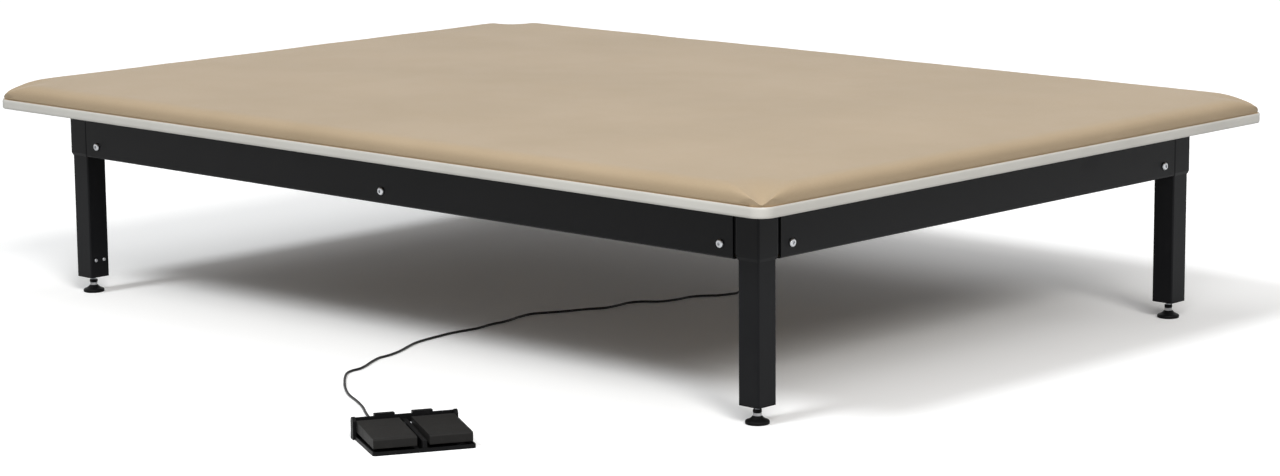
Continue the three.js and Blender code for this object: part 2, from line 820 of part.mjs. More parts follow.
function pedalBase() {
  const rim = roundedBox(trayWidth, trayDepth, trayRimHeight, trayCorner);
  const well = roundedBox(trayWidth - 2 * trayRim, trayDepth - 2 * trayRim, trayRimHeight, trayCorner - trayRim);
  const tray = cut(rim, well.translate(0, 0, trayFloor));
  const wall = block(
    [-trayHalfWidth, trayHalfDepth - rearWallThickness, 0],
    [trayHalfWidth, trayHalfDepth, rearWallHeight],
  );
  const postInner = padOuter + 1.5 * hingeClearance;
  const postShape = new THREE.Shape();
  const postRound = rearPostDepth / 2;
  postShape.moveTo(trayHalfDepth - rearPostDepth, 0);
  postShape.lineTo(trayHalfDepth, 0);
  postShape.absarc(trayHalfDepth - postRound, rearPostHeight - postRound, postRound, 0, 2 * quarterTurn, false);
  const post = alongX(postShape, rearPostWidth, 8);
  const posts = [postInner, -postInner - rearPostWidth].map((x) => post.clone().translate(x, 0, 0));
  const dividerShape = new THREE.Shape();
  const dividerFront = -trayHalfDepth + trayRim / 2;
  dividerShape.moveTo(dividerFront, 0);
  dividerShape.lineTo(trayHalfDepth - rearWallThickness / 2, 0);
  dividerShape.lineTo(trayHalfDepth - rearWallThickness / 2, dividerHeight);
  dividerShape.lineTo(hingeY - knuckleRadius, dividerHeight);
  dividerShape.lineTo(dividerFront, dividerNose);
  const divider = alongX(dividerShape, dividerWidth, 1).translate(-dividerWidth / 2, 0, 0);
  const tabs = [-tabCentre, tabCentre].map((x) => block(
    [x - tabWidth / 2, trayHalfDepth - rearWallThickness, rearWallHeight - tabHeight],
    [x + tabWidth / 2, trayHalfDepth - rearWallThickness + tabDepth, rearWallHeight + tabHeight],
  ));
  const whole = join(tray, wall, ...posts, divider, ...tabs);
  const rodSeat = hingeRodRadius + hingeClearance;
  const rodHole = barAlongX(rodSeat, -postInner - rearPostWidth / 2, postInner + rearPostWidth / 2);
  return cut(whole, rodHole.translate(0, hingeY, hingeHeight));
}

// One hollow pad, open underneath, with a knuckle at each rear corner. Its left side is at x = 0.
function pedalPad() {
  const front = -trayHalfDepth + padFrontInset;
  const rear = trayHalfDepth - rearWallThickness - padRearGap;
  const outline = (inset) => {
    const shape = new THREE.Shape();
    const round = Math.max(padRound - inset, padRound / 4);
    const low = inset > 0 ? -overrun : 0;
    shape.moveTo(front + inset, padSkirt + low);
    shape.lineTo(rear - inset, padRearSkirt + low);
    shape.lineTo(rear - inset, padRearTop - inset);
    shape.lineTo(front + inset + round, padFrontTop - inset);
    shape.absarc(front + inset + round, padFrontTop - inset - round, round, quarterTurn, 2 * quarterTurn, false);
    return shape;
  };
  const shell = alongX(outline(0), padWidth, 4);
  const cavity = alongX(outline(padWall), padWidth - 2 * padWall, 2).translate(padWall, 0, 0);
  const hollow = cut(shell, cavity);
  const knuckles = [0, padWidth - knuckleWidth].map((x) => (
    barAlongX(knuckleRadius, x, x + knuckleWidth).translate(0, hingeY, hingeHeight)
  ));
  const bore = barAlongX(hingeRodRadius + hingeClearance, -overrun, padWidth + overrun);
  return cut(join(hollow, ...knuckles), bore.translate(0, hingeY, hingeHeight));
}

// A flexible strain relief that points to +Y, its flange against the rear wall.
function pedalGland() {
  const steps = 3;
  const profile = [[0, 0], [pedalGlandRadius, 0], [pedalGlandRadius, pedalGlandFlange]];
  const neck = pedalGlandRadius * 0.75;
  for (let step = 0; step <= steps; step += 1) {
    const share = step / steps;
    const radius = neck + (pedalGlandTip - neck) * share;
    profile.push([radius, pedalGlandFlange + (pedalGlandLength - pedalGlandFlange) * share]);
  }
  profile.push([0, pedalGlandLength]);
  return revolve(profile, smallRoundSegments).rotateX(-quarterTurn);
}

// Assembly, with the table's centre on the Z axis until the whole is moved to its origin

const assembly = new THREE.Group();

function place(parent, name, geometry, finish, position = [0, 0, 0], turn = 0) {
  const mesh = finishedMesh(name, geometry, finish);
  mesh.position.set(...position);
  mesh.rotation.z = turn;
  parent.add(mesh);
  return mesh;
}

place(assembly, 'cushion', cushion(), 'vinyl');
place(assembly, 'top_panel', topPanel(), 'plywood');
place(assembly, 'edge_moulding', edgeMoulding(), 'moulding');

// Each side of the frame: turn in quarter turns, half length along the side, and distance from the centre.
const longRail = rail(frameHalfX, seat, cornerGroove, true);
const shortRail = rail(frameHalfY, cornerGroove, seat, false);
const sides = [
  { name: 'long_rail_front', turns: 0, geometry: longRail, half: frameHalfX, long: true, at: [0, -frameHalfY] },
  { name: 'short_rail_right', turns: 1, geometry: shortRail, half: frameHalfY, long: false, at: [frameHalfX, 0] },
  { name: 'long_rail_rear', turns: 2, geometry: longRail, half: frameHalfX, long: true, at: [0, frameHalfY] },
  { name: 'short_rail_left', turns: 3, geometry: shortRail, half: frameHalfY, long: false, at: [-frameHalfX, 0] },
];
for (const side of sides) {
  const turn = side.turns * quarterTurn;
  place(assembly, side.name, side.geometry, 'blackSteel', [...side.at, railBottom], turn);
  const boltX = side.half - boltFromCorner;
  const places = side.long ? [-boltX, 0, boltX] : [-boltX, boltX];
  places.forEach((x, index) => {
    const out = -seat;
    const position = [
      side.at[0] + x * Math.cos(turn) - out * Math.sin(turn),
      side.at[1] + x * Math.sin(turn) + out * Math.cos(turn),
      boltHeight,
    ];
    const name = `bolt_${side.name.replace('_rail', '')}_${index + 1}`;
    place(assembly, name, railBolt(), 'brightSteel', position, turn);
  });
}

place(assembly, 'centre_cross_member', crossMember(), 'blackSteel', [0, 0, railBottom]);

const corners = [
  { name: 'front_right', x: socketX, y: -socketY, turns: 0 },
  { name: 'rear_right', x: socketX, y: socketY, turns: 1 },
  { name: 'rear_left', x: -socketX, y: socketY, turns: 2 },
  { name: 'front_left', x: -socketX, y: -socketY, turns: 3 },
];
for (const corner of corners) {
  const at = [corner.x, corner.y, 0];
  const turn = corner.turns * quarterTurn;
  const tube = cornerTube(corner.turns % 2 === 1);
  place(assembly, `corner_tube_${corner.name}`, tube, 'blackSteel', [at[0], at[1], railBottom], turn);
  place(assembly, `leg_${corner.name}`, leg(corner.x), 'blackSteel', at);
  place(assembly, `glide_bush_${corner.name}`, glideBush(), 'blackPlastic', at);
  place(assembly, `inner_leg_${corner.name}`, innerLeg(), 'brightSteel', at);
  place(assembly, `lift_cylinder_${corner.name}`, liftCylinder(), 'brightSteel', at);
  place(assembly, `piston_rod_${corner.name}`, pistonRod(), 'brightSteel', at);
  place(assembly, `levelling_foot_${corner.name}`, levellingFoot(), 'blackPlastic', at);
}

const unitX = -memberWidth / 2 - unitGap - pumpWidth / 2;
place(assembly, 'power_unit', powerUnit(), 'casting', [unitX, 0, hangingHeight]);
place(assembly, 'control_box', controlBox(), 'blackPlastic', [boxCentreX, boxCentreY, hangingHeight]);
const boxGlandAt = [
  boxCentreX - boxWidth / 2 + boxGlandInsetX,
  boxCentreY - boxLength / 2 + boxGlandInsetY,
  hangingHeight - boxHeight - seat,
];
place(assembly, 'control_box_gland', boxGland(), 'blackPlastic', boxGlandAt);
const inletAt = [boxCentreX + boxWidth / 2 + seat, boxCentreY, hangingHeight - boxHeight / 2];
place(assembly, 'mains_inlet', mainsInlet(), 'blackPlastic', inletAt);

// The left lines leave the pump low and run beside the cross member, the right ones run inside it. All of them
// lie on the lower flanges of the long rails and rise at the legs.
const portX = unitX + pumpWidth / 2 + seat;
const portHeight = hangingHeight - unitDrop - pumpHeight / 2;
const flangeHeight = railBottom + railWall + seat + lineRadius;
const riseX = socketX - cornerTubeSize / 2 - lineRiseFromTube;
const lineEndX = socketX - barrelRadius - seat;
for (const corner of corners) {
  const sideX = Math.sign(corner.x);
  const sideY = Math.sign(corner.y);
  const startHeight = portHeight + (sideX * linePortRise) / 2;
  const startY = (sideY * linePortSpacing) / 2;
  const turnX = sideX > 0 ? lineInMember : -memberWidth / 2 - lineBesideMember;
  const underway = sideX > 0
    ? [[turnX, sideY * lineY, railBottom + lineMemberRise], [lineDescent, sideY * lineY, flangeHeight]]
    : [[turnX, sideY * lineY, flangeHeight]];
  const line = [
    [portX, startY, startHeight],
    [turnX, startY, startHeight],
    ...underway,
    [sideX * riseX, sideY * lineY, flangeHeight],
    [sideX * riseX, corner.y, lineHeadHeight],
    [sideX * lineEndX, corner.y, lineHeadHeight],
  ];
  const tube = sweep(bentLine(line, lineBend, lineBendSteps), lineRadius, lineSides);
  place(assembly, `pressure_line_${corner.name}`, tube, 'brightSteel');
}

// The pedal stands by its foremost corner, which lies pedalReach in front of the table.
const trayCornerReach = (trayHalfWidth - trayCorner) * Math.sin(pedalAngle)
  + (trayHalfDepth - trayCorner) * Math.cos(pedalAngle) + trayCorner;
const pedalCentreY = -tableWidth / 2 - pedalReach + trayCornerReach;
const pedal = new THREE.Group();
pedal.position.set(pedalCentreX, pedalCentreY, 0);
pedal.rotation.z = pedalAngle;
assembly.add(pedal);
place(pedal, 'pedal_base', pedalBase(), 'blackPlastic');
place(pedal, 'pedal_up', pedalPad(), 'padPlastic', [-padOuter, 0, 0]);
place(pedal, 'pedal_down', pedalPad(), 'padPlastic', [padInner, 0, 0]);
const rodHalf = padOuter + rearPostWidth / 2;
place(pedal, 'pedal_hinge_rod', barAlongX(hingeRodRadius, -rodHalf, rodHalf), 'brightSteel', [0, hingeY, hingeHeight]);
const pedalGlandX = -trayHalfWidth + pedalGlandFromEnd;
place(
  pedal,
  'pedal_gland',
  pedalGland(),
  'blackPlastic',
  [pedalGlandX, trayHalfDepth + seat, pedalGlandHeight],
);

// The cord leaves the pedal's gland, lies along the floor and rises to the gland of the control box.
const outOfPedal = new THREE.Vector3(0, 1, 0).applyAxisAngle(new THREE.Vector3(0, 0, 1), pedalAngle);
const cordStart = new THREE.Vector3(
  pedalGlandX,
  trayHalfDepth + seat + pedalGlandLength + seat,
  pedalGlandHeight,
).applyAxisAngle(new THREE.Vector3(0, 0, 1), pedalAngle).add(pedal.position);
const cordLead = cordStart.clone().addScaledVector(outOfPedal, cordLeadLength);
const cordEnd = new THREE.Vector3(
  boxGlandAt[0],
  boxGlandAt[1],
  boxGlandAt[2] - glandNutHeight - glandDomeHeight - seat,
);
const cordPath = [
  [468, -1099, 13],
  [445, -1084, 6],
  [415, -1066, 2.7],
  [365, -1034, 2.7],
  [323, -1004, 2.7],
  [279, -978, 2.7],
  [229, -952, 2.7],
  [185, -921, 2.7],
  [145, -887, 2.7],
  [110, -854, 2.7],
  [88, -829, 2.7],
  [79, -808, 2.7],
  [77, -788, 2.7],
  [67, -764, 2.7],
  [48, -730, 2.7],
  [32, -695, 2.7],
  [29, -670, 2.7],
  [17, -630, 2.7],
  [-2, -590, 2.7],
  [-17, -557, 2.7],
  [-25, -524, 2.7],
  [-31, -475, 2.7],
  [-34, -440, 2.7],
  [-31, -404, 2.7],
  [-29, -375, 2.7],
  [-36, -330, 2.7],
  [-36, -290, 2.7],
  [-48, -236, 2.7],
  [-50, -200, 2.7],
  [-34, -168, 2.7],
  [-16, -132, 2.7],
  [0, -91, 2.7],
  [19, -58, 2.7],
  [21, -26, 2.7],
  [18, 14, 2.7],
  [29, 39, 2.7],
  [57, 64, 2.7],
  [70, 103, 2.7],
  [71, 140, 2.7],
  [82, 167, 2.7],
  [104, 194, 2.7],
  [114, 223, 2.7],
  [117, 246, 4],
  [118, 259, 16],
  [118, 262, 50],
  [118, 262, 150],
  [118, 262, 250],
];
const route = new THREE.CatmullRomCurve3(
  [cordStart, cordLead, ...cordPath.map((point) => new THREE.Vector3(...point)), cordEnd],
  false,
  'centripetal',
);
const cordSection = new THREE.Shape();
for (let i = 0; i < cordSides; i += 1) {
  const angle = ((i + 0.5) / cordSides) * 2 * Math.PI;
  const point = [(cordDiameter / 2) * Math.cos(angle), (cordDiameter / 2) * Math.sin(angle)];
  if (i === 0) cordSection.moveTo(...point);
  else cordSection.lineTo(...point);
}
place(
  assembly,
  'pedal_cord',
  new THREE.ExtrudeGeometry(cordSection, { steps: cordSteps, extrudePath: route }),
  'cordJacket',
);

// The origin is the middle of the floor area that the table and the pedal cover together.
assembly.position.y = pedalReach / 2;

const model = new THREE.Group();
model.name = 'treatment_mat_table';
model.add(assembly);
export default model;
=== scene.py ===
"""The looks of a powered treatment mat table with a twin foot pedal.

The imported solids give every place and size. This script dresses them, builds the finer
pieces that stand for some of them and lights the whole in a plain white studio.
Lengths are in metres, +Z is up and the floor is at z = 0.
"""

import logging
import math
from collections.abc import Callable, Iterable, Sequence
from dataclasses import dataclass, field
from enum import Enum
from typing import ClassVar

import bmesh
import bpy
import numpy as np
from mathutils import Matrix, Vector, noise


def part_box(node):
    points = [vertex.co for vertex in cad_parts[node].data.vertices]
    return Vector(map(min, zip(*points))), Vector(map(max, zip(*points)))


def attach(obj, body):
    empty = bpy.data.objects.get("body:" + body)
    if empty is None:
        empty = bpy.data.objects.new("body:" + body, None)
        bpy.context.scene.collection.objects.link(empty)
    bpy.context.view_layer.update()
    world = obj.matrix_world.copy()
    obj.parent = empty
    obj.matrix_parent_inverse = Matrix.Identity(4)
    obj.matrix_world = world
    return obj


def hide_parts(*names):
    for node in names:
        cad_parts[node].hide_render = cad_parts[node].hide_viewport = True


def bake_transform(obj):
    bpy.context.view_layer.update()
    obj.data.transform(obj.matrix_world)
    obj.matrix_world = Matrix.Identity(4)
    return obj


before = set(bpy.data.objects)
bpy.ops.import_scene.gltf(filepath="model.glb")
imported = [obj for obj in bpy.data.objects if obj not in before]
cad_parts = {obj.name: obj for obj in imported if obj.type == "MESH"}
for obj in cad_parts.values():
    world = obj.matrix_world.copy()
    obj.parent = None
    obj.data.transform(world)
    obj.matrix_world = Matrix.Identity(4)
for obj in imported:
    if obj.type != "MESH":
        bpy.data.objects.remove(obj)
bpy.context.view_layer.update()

log = logging.getLogger("mat_table")

Point = tuple[float, float, float]
Colour = tuple[float, float, float]
Profile = tuple[tuple[float, float], ...]

ROW_SHIFT = 0.238  # the table's centre lies this far along +Y in the row frame
SHIFT = Vector((0.0, ROW_SHIFT, 0.0))
MILLIMETRES = Matrix.Diagonal((0.001, 0.001, 0.001, 1.0))
WHITE = (1.0, 1.0, 1.0)
FULL_TURN = 2 * math.pi
QUARTER_TURN = math.pi / 2
LOOP_POINTS = 24  # of one round loop, where a piece needs no other number


class Body(str, Enum):
    """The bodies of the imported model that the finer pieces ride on."""

    STAND = "stand"
    TOP = "top_and_frame"


class Corner(Enum):
    """A corner of the table: its name in the solids, and its side along X and Y."""

    FRONT_LEFT = ("front_left", -1, -1)
    FRONT_RIGHT = ("front_right", 1, -1)
    REAR_RIGHT = ("rear_right", 1, 1)
    REAR_LEFT = ("rear_left", -1, 1)

    @property
    def tag(self) -> str:
        """The corner's name in the solids."""
        return self.value[0]

    @property
    def side(self) -> int:
        """The corner's side along X, 1 or -1."""
        return self.value[1]

    @property
    def foot_body(self) -> str:
        """The body that the corner's levelling foot belongs to."""
        return f"foot_{self.tag}"


# Shader tools


class Blend(Enum):
    """The ways in which two colours mix."""

    PLAIN = "MIX"
    DARKER = "MULTIPLY"


@dataclass(frozen=True)
class Grain:
    """A pattern of soft noise from 0 to 1."""

    per_metre: float
    detail: float = 2.0  # how many finer layers it has
    rough: float = 0.5  # how strong the finer layers are
    stretch: Point | None = None  # the scale of each axis, where they differ
    window: tuple[float, float] | None = None  # the part of its range that becomes 0 to 1


class Tone:
    """A number that varies over a surface, with Python's arithmetic on it."""

    def __init__(self, graph: "Graph", socket: bpy.types.NodeSocket) -> None:
        """Keeps the graph and the socket that the number comes from."""
        self.graph = graph
        self.socket = socket

    def worked(self, operation: str, *values: "Tone | float") -> "Tone":
        """Adds one Math node.

        Args:
            operation: The Math node's operation.
            values: What goes into its sockets, in order.

        Returns:
            The node's result.
        """
        made = self.graph.node("ShaderNodeMath", {"operation": operation}, dict(enumerate(values)))
        return Tone(self.graph, made.outputs[0])

    def __add__(self, other: "Tone | float") -> "Tone":
        """This plus other."""
        return self.worked("ADD", self, other)

    def __radd__(self, other: float) -> "Tone":
        """other plus this."""
        return self.worked("ADD", other, self)

    def __sub__(self, other: "Tone | float") -> "Tone":
        """This less other."""
        return self.worked("SUBTRACT", self, other)

    def __rsub__(self, other: float) -> "Tone":
        """other less this."""
        return self.worked("SUBTRACT", other, self)

    def __mul__(self, other: "Tone | float") -> "Tone":
        """This times other."""
        return self.worked("MULTIPLY", self, other)

    def __rmul__(self, other: float) -> "Tone":
        """other times this."""
        return self.worked("MULTIPLY", other, self)

    def size(self) -> "Tone":
        """This without its sign."""
        return self.worked("ABSOLUTE", self)

    def sine(self) -> "Tone":
        """The sine of this angle in radians."""
        return self.worked("SINE", self)

    def larger(self, other: "Tone") -> "Tone":
        """The larger of this and other."""
        return self.worked("MAXIMUM", self, other)

    def between(self, low: float, high: float) -> "Tone":
        """A soft step.

        Args:
            low: Where it starts, at 0.
            high: Where it ends, at 1.

        Returns:
            The step.
        """
        made = self.graph.node(
            "ShaderNodeMapRange",
            {"interpolation_type": "SMOOTHSTEP"},
            {"Value": self, "From Min": low, "From Max": high},
        )
        return Tone(self.graph, made.outputs["Result"])


class Graph:
    """The nodes of one material or world."""

    mix_share: ClassVar[int] = 0  # the Mix node's sockets for colours
    mix_first: ClassVar[int] = 6
    mix_second: ClassVar[int] = 7
    mix_result: ClassVar[int] = 2

    def __init__(self, tree: bpy.types.NodeTree) -> None:
        """Starts with an empty tree.

        Args:
            tree: The tree of the material or world.
        """
        self.tree = tree
        self.tree.nodes.clear()
        self._place: bpy.types.NodeSocket | None = None

    def node(
        self,
        kind: str,
        settings: dict[str, object] | None = None,
        inputs: dict[str | int, object] | None = None,
    ) -> bpy.types.Node:
        """Adds any node.

        Args:
            kind: The node's type.
            settings: Its own settings, set first. "stops" holds a ramp's places and colours.
            inputs: The values or links of its sockets, by name or number.

        Returns:
            The node.
        """
        made = self.tree.nodes.new(kind)
        for name, value in (settings or {}).items():
            if name == "stops":
                self._fill_ramp(made.color_ramp, value)
            else:
                setattr(made, name, value)
        for key, value in (inputs or {}).items():
            source = value.socket if isinstance(value, Tone) else value
            if isinstance(source, bpy.types.NodeSocket):
                self.tree.links.new(source, made.inputs[key])
            elif isinstance(source, tuple) and made.inputs[key].type == "RGBA":
                made.inputs[key].default_value = (*source, 1.0)
            else:
                made.inputs[key].default_value = source
        return made

    @staticmethod
    def _fill_ramp(ramp: bpy.types.ColorRamp, stops: Sequence[tuple[float, Colour]]) -> None:
        """Gives a ramp its stops.

        Args:
            ramp: The ramp, with its two first stops.
            stops: The place and colour of each stop.
        """
        while len(ramp.elements) < len(stops):
            ramp.elements.new(0.5)  # every stop is moved to its own place below
        for element, (place, colour) in zip(ramp.elements, stops):
            element.position = place
            element.color = (*colour, 1.0)

    @property
    def place(self) -> bpy.types.NodeSocket:
        """The point on the piece, in its own frame."""
        if self._place is None:
            self._place = self.node("ShaderNodeTexCoord").outputs["Object"]
        return self._place

    def along(self, axis: str) -> Tone:
        """The point's X, Y or Z."""
        parts = self.node("ShaderNodeSeparateXYZ", None, {0: self.place})
        return Tone(self, parts.outputs[axis])

    def stretched(self, scale: Point) -> bpy.types.NodeSocket:
        """The point with each axis times its own scale."""
        made = self.node("ShaderNodeVectorMath", {"operation": "MULTIPLY"}, {0: self.place, 1: scale})
        return made.outputs[0]

    def grain(self, grain: Grain) -> Tone:
        """Lays a grain over the surface.

        Args:
            grain: The pattern.

        Returns:
            Its noise, with its window opened to 0 to 1 where it has one.
        """
        at = self.stretched(grain.stretch) if grain.stretch else self.place
        inputs = {"Vector": at, "Scale": grain.per_metre, "Detail": grain.detail, "Roughness": grain.rough}
        laid = Tone(self, self.node("ShaderNodeTexNoise", None, inputs).outputs["Fac"])
        return laid.between(*grain.window) if grain.window else laid

    def pebbles(self, per_metre: float) -> Tone:
        """Lays a pebbled pattern over the surface.

        Args:
            per_metre: Its pebbles per metre.

        Returns:
            The distance to the edge of each pebble.
        """
        inputs = {"Vector": self.place, "Scale": per_metre}
        made = self.node("ShaderNodeTexVoronoi", {"feature": "DISTANCE_TO_EDGE"}, inputs)
        return Tone(self, made.outputs["Distance"])

    def ramp(self, value: Tone, stops: Sequence[tuple[float, Colour]]) -> bpy.types.NodeSocket:
        """The colour that a ramp gives for a number."""
        return self.node("ShaderNodeValToRGB", {"stops": stops}, {0: value}).outputs["Color"]

    def mix(
        self,
        share: Tone | float,
        first: Colour | bpy.types.NodeSocket,
        second: Colour | bpy.types.NodeSocket,
        blend: Blend = Blend.PLAIN,
    ) -> bpy.types.NodeSocket:
        """Two colours mixed.

        Args:
            share: How much of the second one there is.
            first: The colour at share 0.
            second: The colour at share 1.
            blend: The way in which they mix.

        Returns:
            The mixed colour.
        """
        settings = {"data_type": "RGBA", "blend_type": blend.value}
        inputs = {self.mix_share: share, self.mix_first: first, self.mix_second: second}
        return self.node("ShaderNodeMix", settings, inputs).outputs[self.mix_result]

    def bump(self, height: Tone, depth: float, strength: float) -> bpy.types.NodeSocket:
        """A normal bent by a height of up to depth metres."""
        inputs = {"Height": height, "Distance": depth, "Strength": strength}
        return self.node("ShaderNodeBump", None, inputs).outputs["Normal"]

    def surface(self, **sockets: object) -> None:
        """Ends the graph in one Principled shader.

        Args:
            sockets: The shader's inputs, each named with _ for its spaces.
        """
        inputs = {key.replace("_", " "): value for key, value in sockets.items()}
        shader = self.node("ShaderNodeBsdfPrincipled", None, inputs)
        self.node("ShaderNodeOutputMaterial", None, {"Surface": shader.outputs[0]})


# Finishes


class Finish:
    """A finish that is mixed once and then serves every piece that has it."""

    name: str
    mixes: ClassVar[dict[str, bpy.types.Material]] = {}

    def mixed(self, graph: Graph) -> None:
        """Builds the finish's nodes."""
        raise NotImplementedError

    def material(self) -> bpy.types.Material:
        """Makes the finish's material at its first use.

        Returns:
            The material.
        """
        if self.name not in self.mixes:
            made = bpy.data.materials.new(self.name)
            made.use_nodes = True
            self.mixed(Graph(made.node_tree))
            self.mixes[self.name] = made
        return self.mixes[self.name]


@dataclass(frozen=True)
class Vinyl(Finish):
    """Tan upholstery vinyl: a fine pressed leather grain with a soft gloss, and painted shade in the grain's
    creases.
    """

    name: str = "tan_vinyl"
    light: Colour = (0.450, 0.348, 0.232)
    dark: Colour = (0.416, 0.320, 0.209)
    clouds: Grain = Grain(2.6, 3.0, window=(0.3, 0.7))
    pebbles_per_metre: float = 620.0
    crease_width: float = 0.22
    # painted shade: how much darker the colour is made in the grain's creases
    crease_painted_shade: float = 0.16
    crease_height: float = 0.8
    fine: Grain = Grain(1860.0, 3.0, 0.6)
    fine_height: float = 0.35
    depth: float = 0.00012
    relief: float = 0.55
    roughness: float = 0.47
    handling: Grain = Grain(9.0)
    handled_roughness: float = 0.08
    crease_gloss: float = 0.05
    specular: float = 0.22
    sheen: float = 0.04
    sheen_roughness: float = 0.4

    def mixed(self, graph: Graph) -> None:
        """Builds the finish's nodes.

        Args:
            graph: The empty graph of its material.
        """
        colour = graph.mix(graph.grain(self.clouds), self.dark, self.light)
        creases = graph.pebbles(self.pebbles_per_metre).between(0.0, self.crease_width)
        # painted shade: the colour is darkened in the grain's creases
        colour = graph.mix((1 - creases) * self.crease_painted_shade, colour, self.dark, Blend.DARKER)
        height = creases * self.crease_height + graph.grain(self.fine) * self.fine_height
        handled = self.handled_roughness * graph.grain(self.handling)
        graph.surface(
            Base_Color=colour,
            Roughness=self.roughness + handled - self.crease_gloss * creases,
            Normal=graph.bump(height, self.depth, self.relief),
            Specular_IOR_Level=self.specular,
            Sheen_Weight=self.sheen,
            Sheen_Roughness=self.sheen_roughness,
        )


@dataclass(frozen=True)
class Moulding(Finish):
    """Off-white extruded edge moulding with faint drawing lines along its face."""

    name: str = "edge_moulding_plastic"
    colour: Colour = (0.635, 0.622, 0.58)
    shade: Colour = (0.565, 0.55, 0.51)
    clouds: Grain = Grain(7.0, window=(0.35, 0.75))
    shading: float = 0.7
    lines: Grain = Grain(900.0, stretch=(0.004, 0.004, 1.0))
    depth: float = 0.00008
    relief: float = 0.5
    roughness: float = 0.34
    line_roughness: float = 0.1
    specular: float = 0.5

    def mixed(self, graph: Graph) -> None:
        """Builds the finish's nodes.

        Args:
            graph: The empty graph of its material.
        """
        lines = graph.grain(self.lines)
        graph.surface(
            Base_Color=graph.mix(graph.grain(self.clouds) * self.shading, self.colour, self.shade),
            Roughness=self.roughness + self.line_roughness * lines,
            Normal=graph.bump(lines, self.depth, self.relief),
            Specular_IOR_Level=self.specular,
        )


@dataclass(frozen=True)
class Plywood(Finish):
    """Birch plywood: long grain in the faces and thin plies at the edge."""

    name: str = "birch_plywood"
    light: Colour = (0.56, 0.40, 0.235)
    dark: Colour = (0.42, 0.275, 0.145)
    streaks: Grain = Grain(9.0, 5.0, 0.6, (0.35, 6.0, 1.0))
    streak_places: Point = (0.3, 0.55, 0.8)
    pores: Grain = Grain(40.0, 3.0, 0.7, (0.6, 18.0, 1.0))
    open_pores: tuple[float, float] = (0.55, 0.75)
    pore_shade: float = 0.35
    plies_per_metre: float = 5200.0  # in radians
    ply_edge: float = 0.2
    ply_shade: float = 0.12
    depth: float = 0.0002
    relief: float = 0.4
    roughness: float = 0.6
    pore_roughness: float = 0.15

    def mixed(self, graph: Graph) -> None:
        """Builds the finish's nodes.

        Args:
            graph: The empty graph of its material.
        """
        pores = graph.grain(self.pores)
        plies = (graph.along("Z") * self.plies_per_metre).sine().between(-self.ply_edge, self.ply_edge)
        stops = list(zip(self.streak_places, (self.dark, self.light, self.dark)))
        colour = graph.ramp(graph.grain(self.streaks), stops)
        colour = graph.mix(pores.between(*self.open_pores) * self.pore_shade, colour, self.dark)
        colour = graph.mix(plies * self.ply_shade, colour, self.dark, Blend.DARKER)
        graph.surface(
            Base_Color=colour,
            Roughness=self.roughness + self.pore_roughness * pores,
            Normal=graph.bump(pores, self.depth, self.relief),
        )


@dataclass(frozen=True)
class PowderCoat(Finish):
    """Black powder coat: a fine orange peel with a satin gloss and faint rubbed patches."""

    name: str = "black_powder_coat"
    colour: Colour = (0.0048, 0.0051, 0.0061)
    rubbed: Colour = (0.0085, 0.0086, 0.0096)
    peel: Grain = Grain(850.0, rough=0.45)
    patches: Grain = Grain(11.0, 4.0, 0.6, window=(0.5, 0.8))
    patch_shade: float = 0.7
    dust: Grain = Grain(260.0, 3.0, 0.7, window=(0.62, 0.8))
    dust_shade: float = 0.3
    depth: float = 0.00012
    relief: float = 0.45
    roughness: float = 0.36
    patch_roughness: float = 0.12
    peel_roughness: float = 0.06
    specular: float = 0.11

    def mixed(self, graph: Graph) -> None:
        """Builds the finish's nodes.

        Args:
            graph: The empty graph of its material.
        """
        peel, patches = graph.grain(self.peel), graph.grain(self.patches)
        share = patches * self.patch_shade + graph.grain(self.dust) * self.dust_shade
        graph.surface(
            Base_Color=graph.mix(share, self.colour, self.rubbed),
            Roughness=self.roughness + self.patch_roughness * patches + self.peel_roughness * peel,
            Normal=graph.bump(peel, self.depth, self.relief),
            Specular_IOR_Level=self.specular,
        )


@dataclass(frozen=True)
class Zinc(Finish):
    """Bright zinc plating with a clouded, faintly brushed face."""

    name: str = "zinc_plate"
    colour: Colour = (0.50, 0.51, 0.53)
    clouded: Colour = (0.41, 0.42, 0.44)
    clouds: Grain = Grain(70.0, 3.0, 0.6, window=(0.35, 0.7))
    brushed: Grain = Grain(1400.0, stretch=(1.0, 1.0, 0.06))
    depth: float = 0.00005
    relief: float = 0.35
    roughness: float = 0.30
    cloud_roughness: float = 0.16

    def mixed(self, graph: Graph) -> None:
        """Builds the finish's nodes.

        Args:
            graph: The empty graph of its material.
        """
        clouds = graph.grain(self.clouds)
        graph.surface(
            Base_Color=graph.mix(clouds, self.colour, self.clouded),
            Metallic=1.0,
            Roughness=self.roughness + self.cloud_roughness * clouds,
            Normal=graph.bump(graph.grain(self.brushed), self.depth, self.relief),
        )


@dataclass(frozen=True)
class HardChrome(Finish):
    """Ground and chromed piston rod with fine turning lines."""

    name: str = "hard_chrome"
    colour: Colour = (0.72, 0.73, 0.75)
    line_colour: Colour = (0.55, 0.56, 0.58)
    line_shade: float = 0.2
    lines: Grain = Grain(2400.0, stretch=(0.05, 0.05, 1.0))
    depth: float = 0.00002
    relief: float = 0.3
    roughness: float = 0.1
    line_roughness: float = 0.08

    def mixed(self, graph: Graph) -> None:
        """Builds the finish's nodes.

        Args:
            graph: The empty graph of its material.
        """
        lines = graph.grain(self.lines)
        graph.surface(
            Base_Color=graph.mix(lines * self.line_shade, self.colour, self.line_colour),
            Metallic=1.0,
            Roughness=self.roughness + self.line_roughness * lines,
            Normal=graph.bump(lines, self.depth, self.relief),
        )


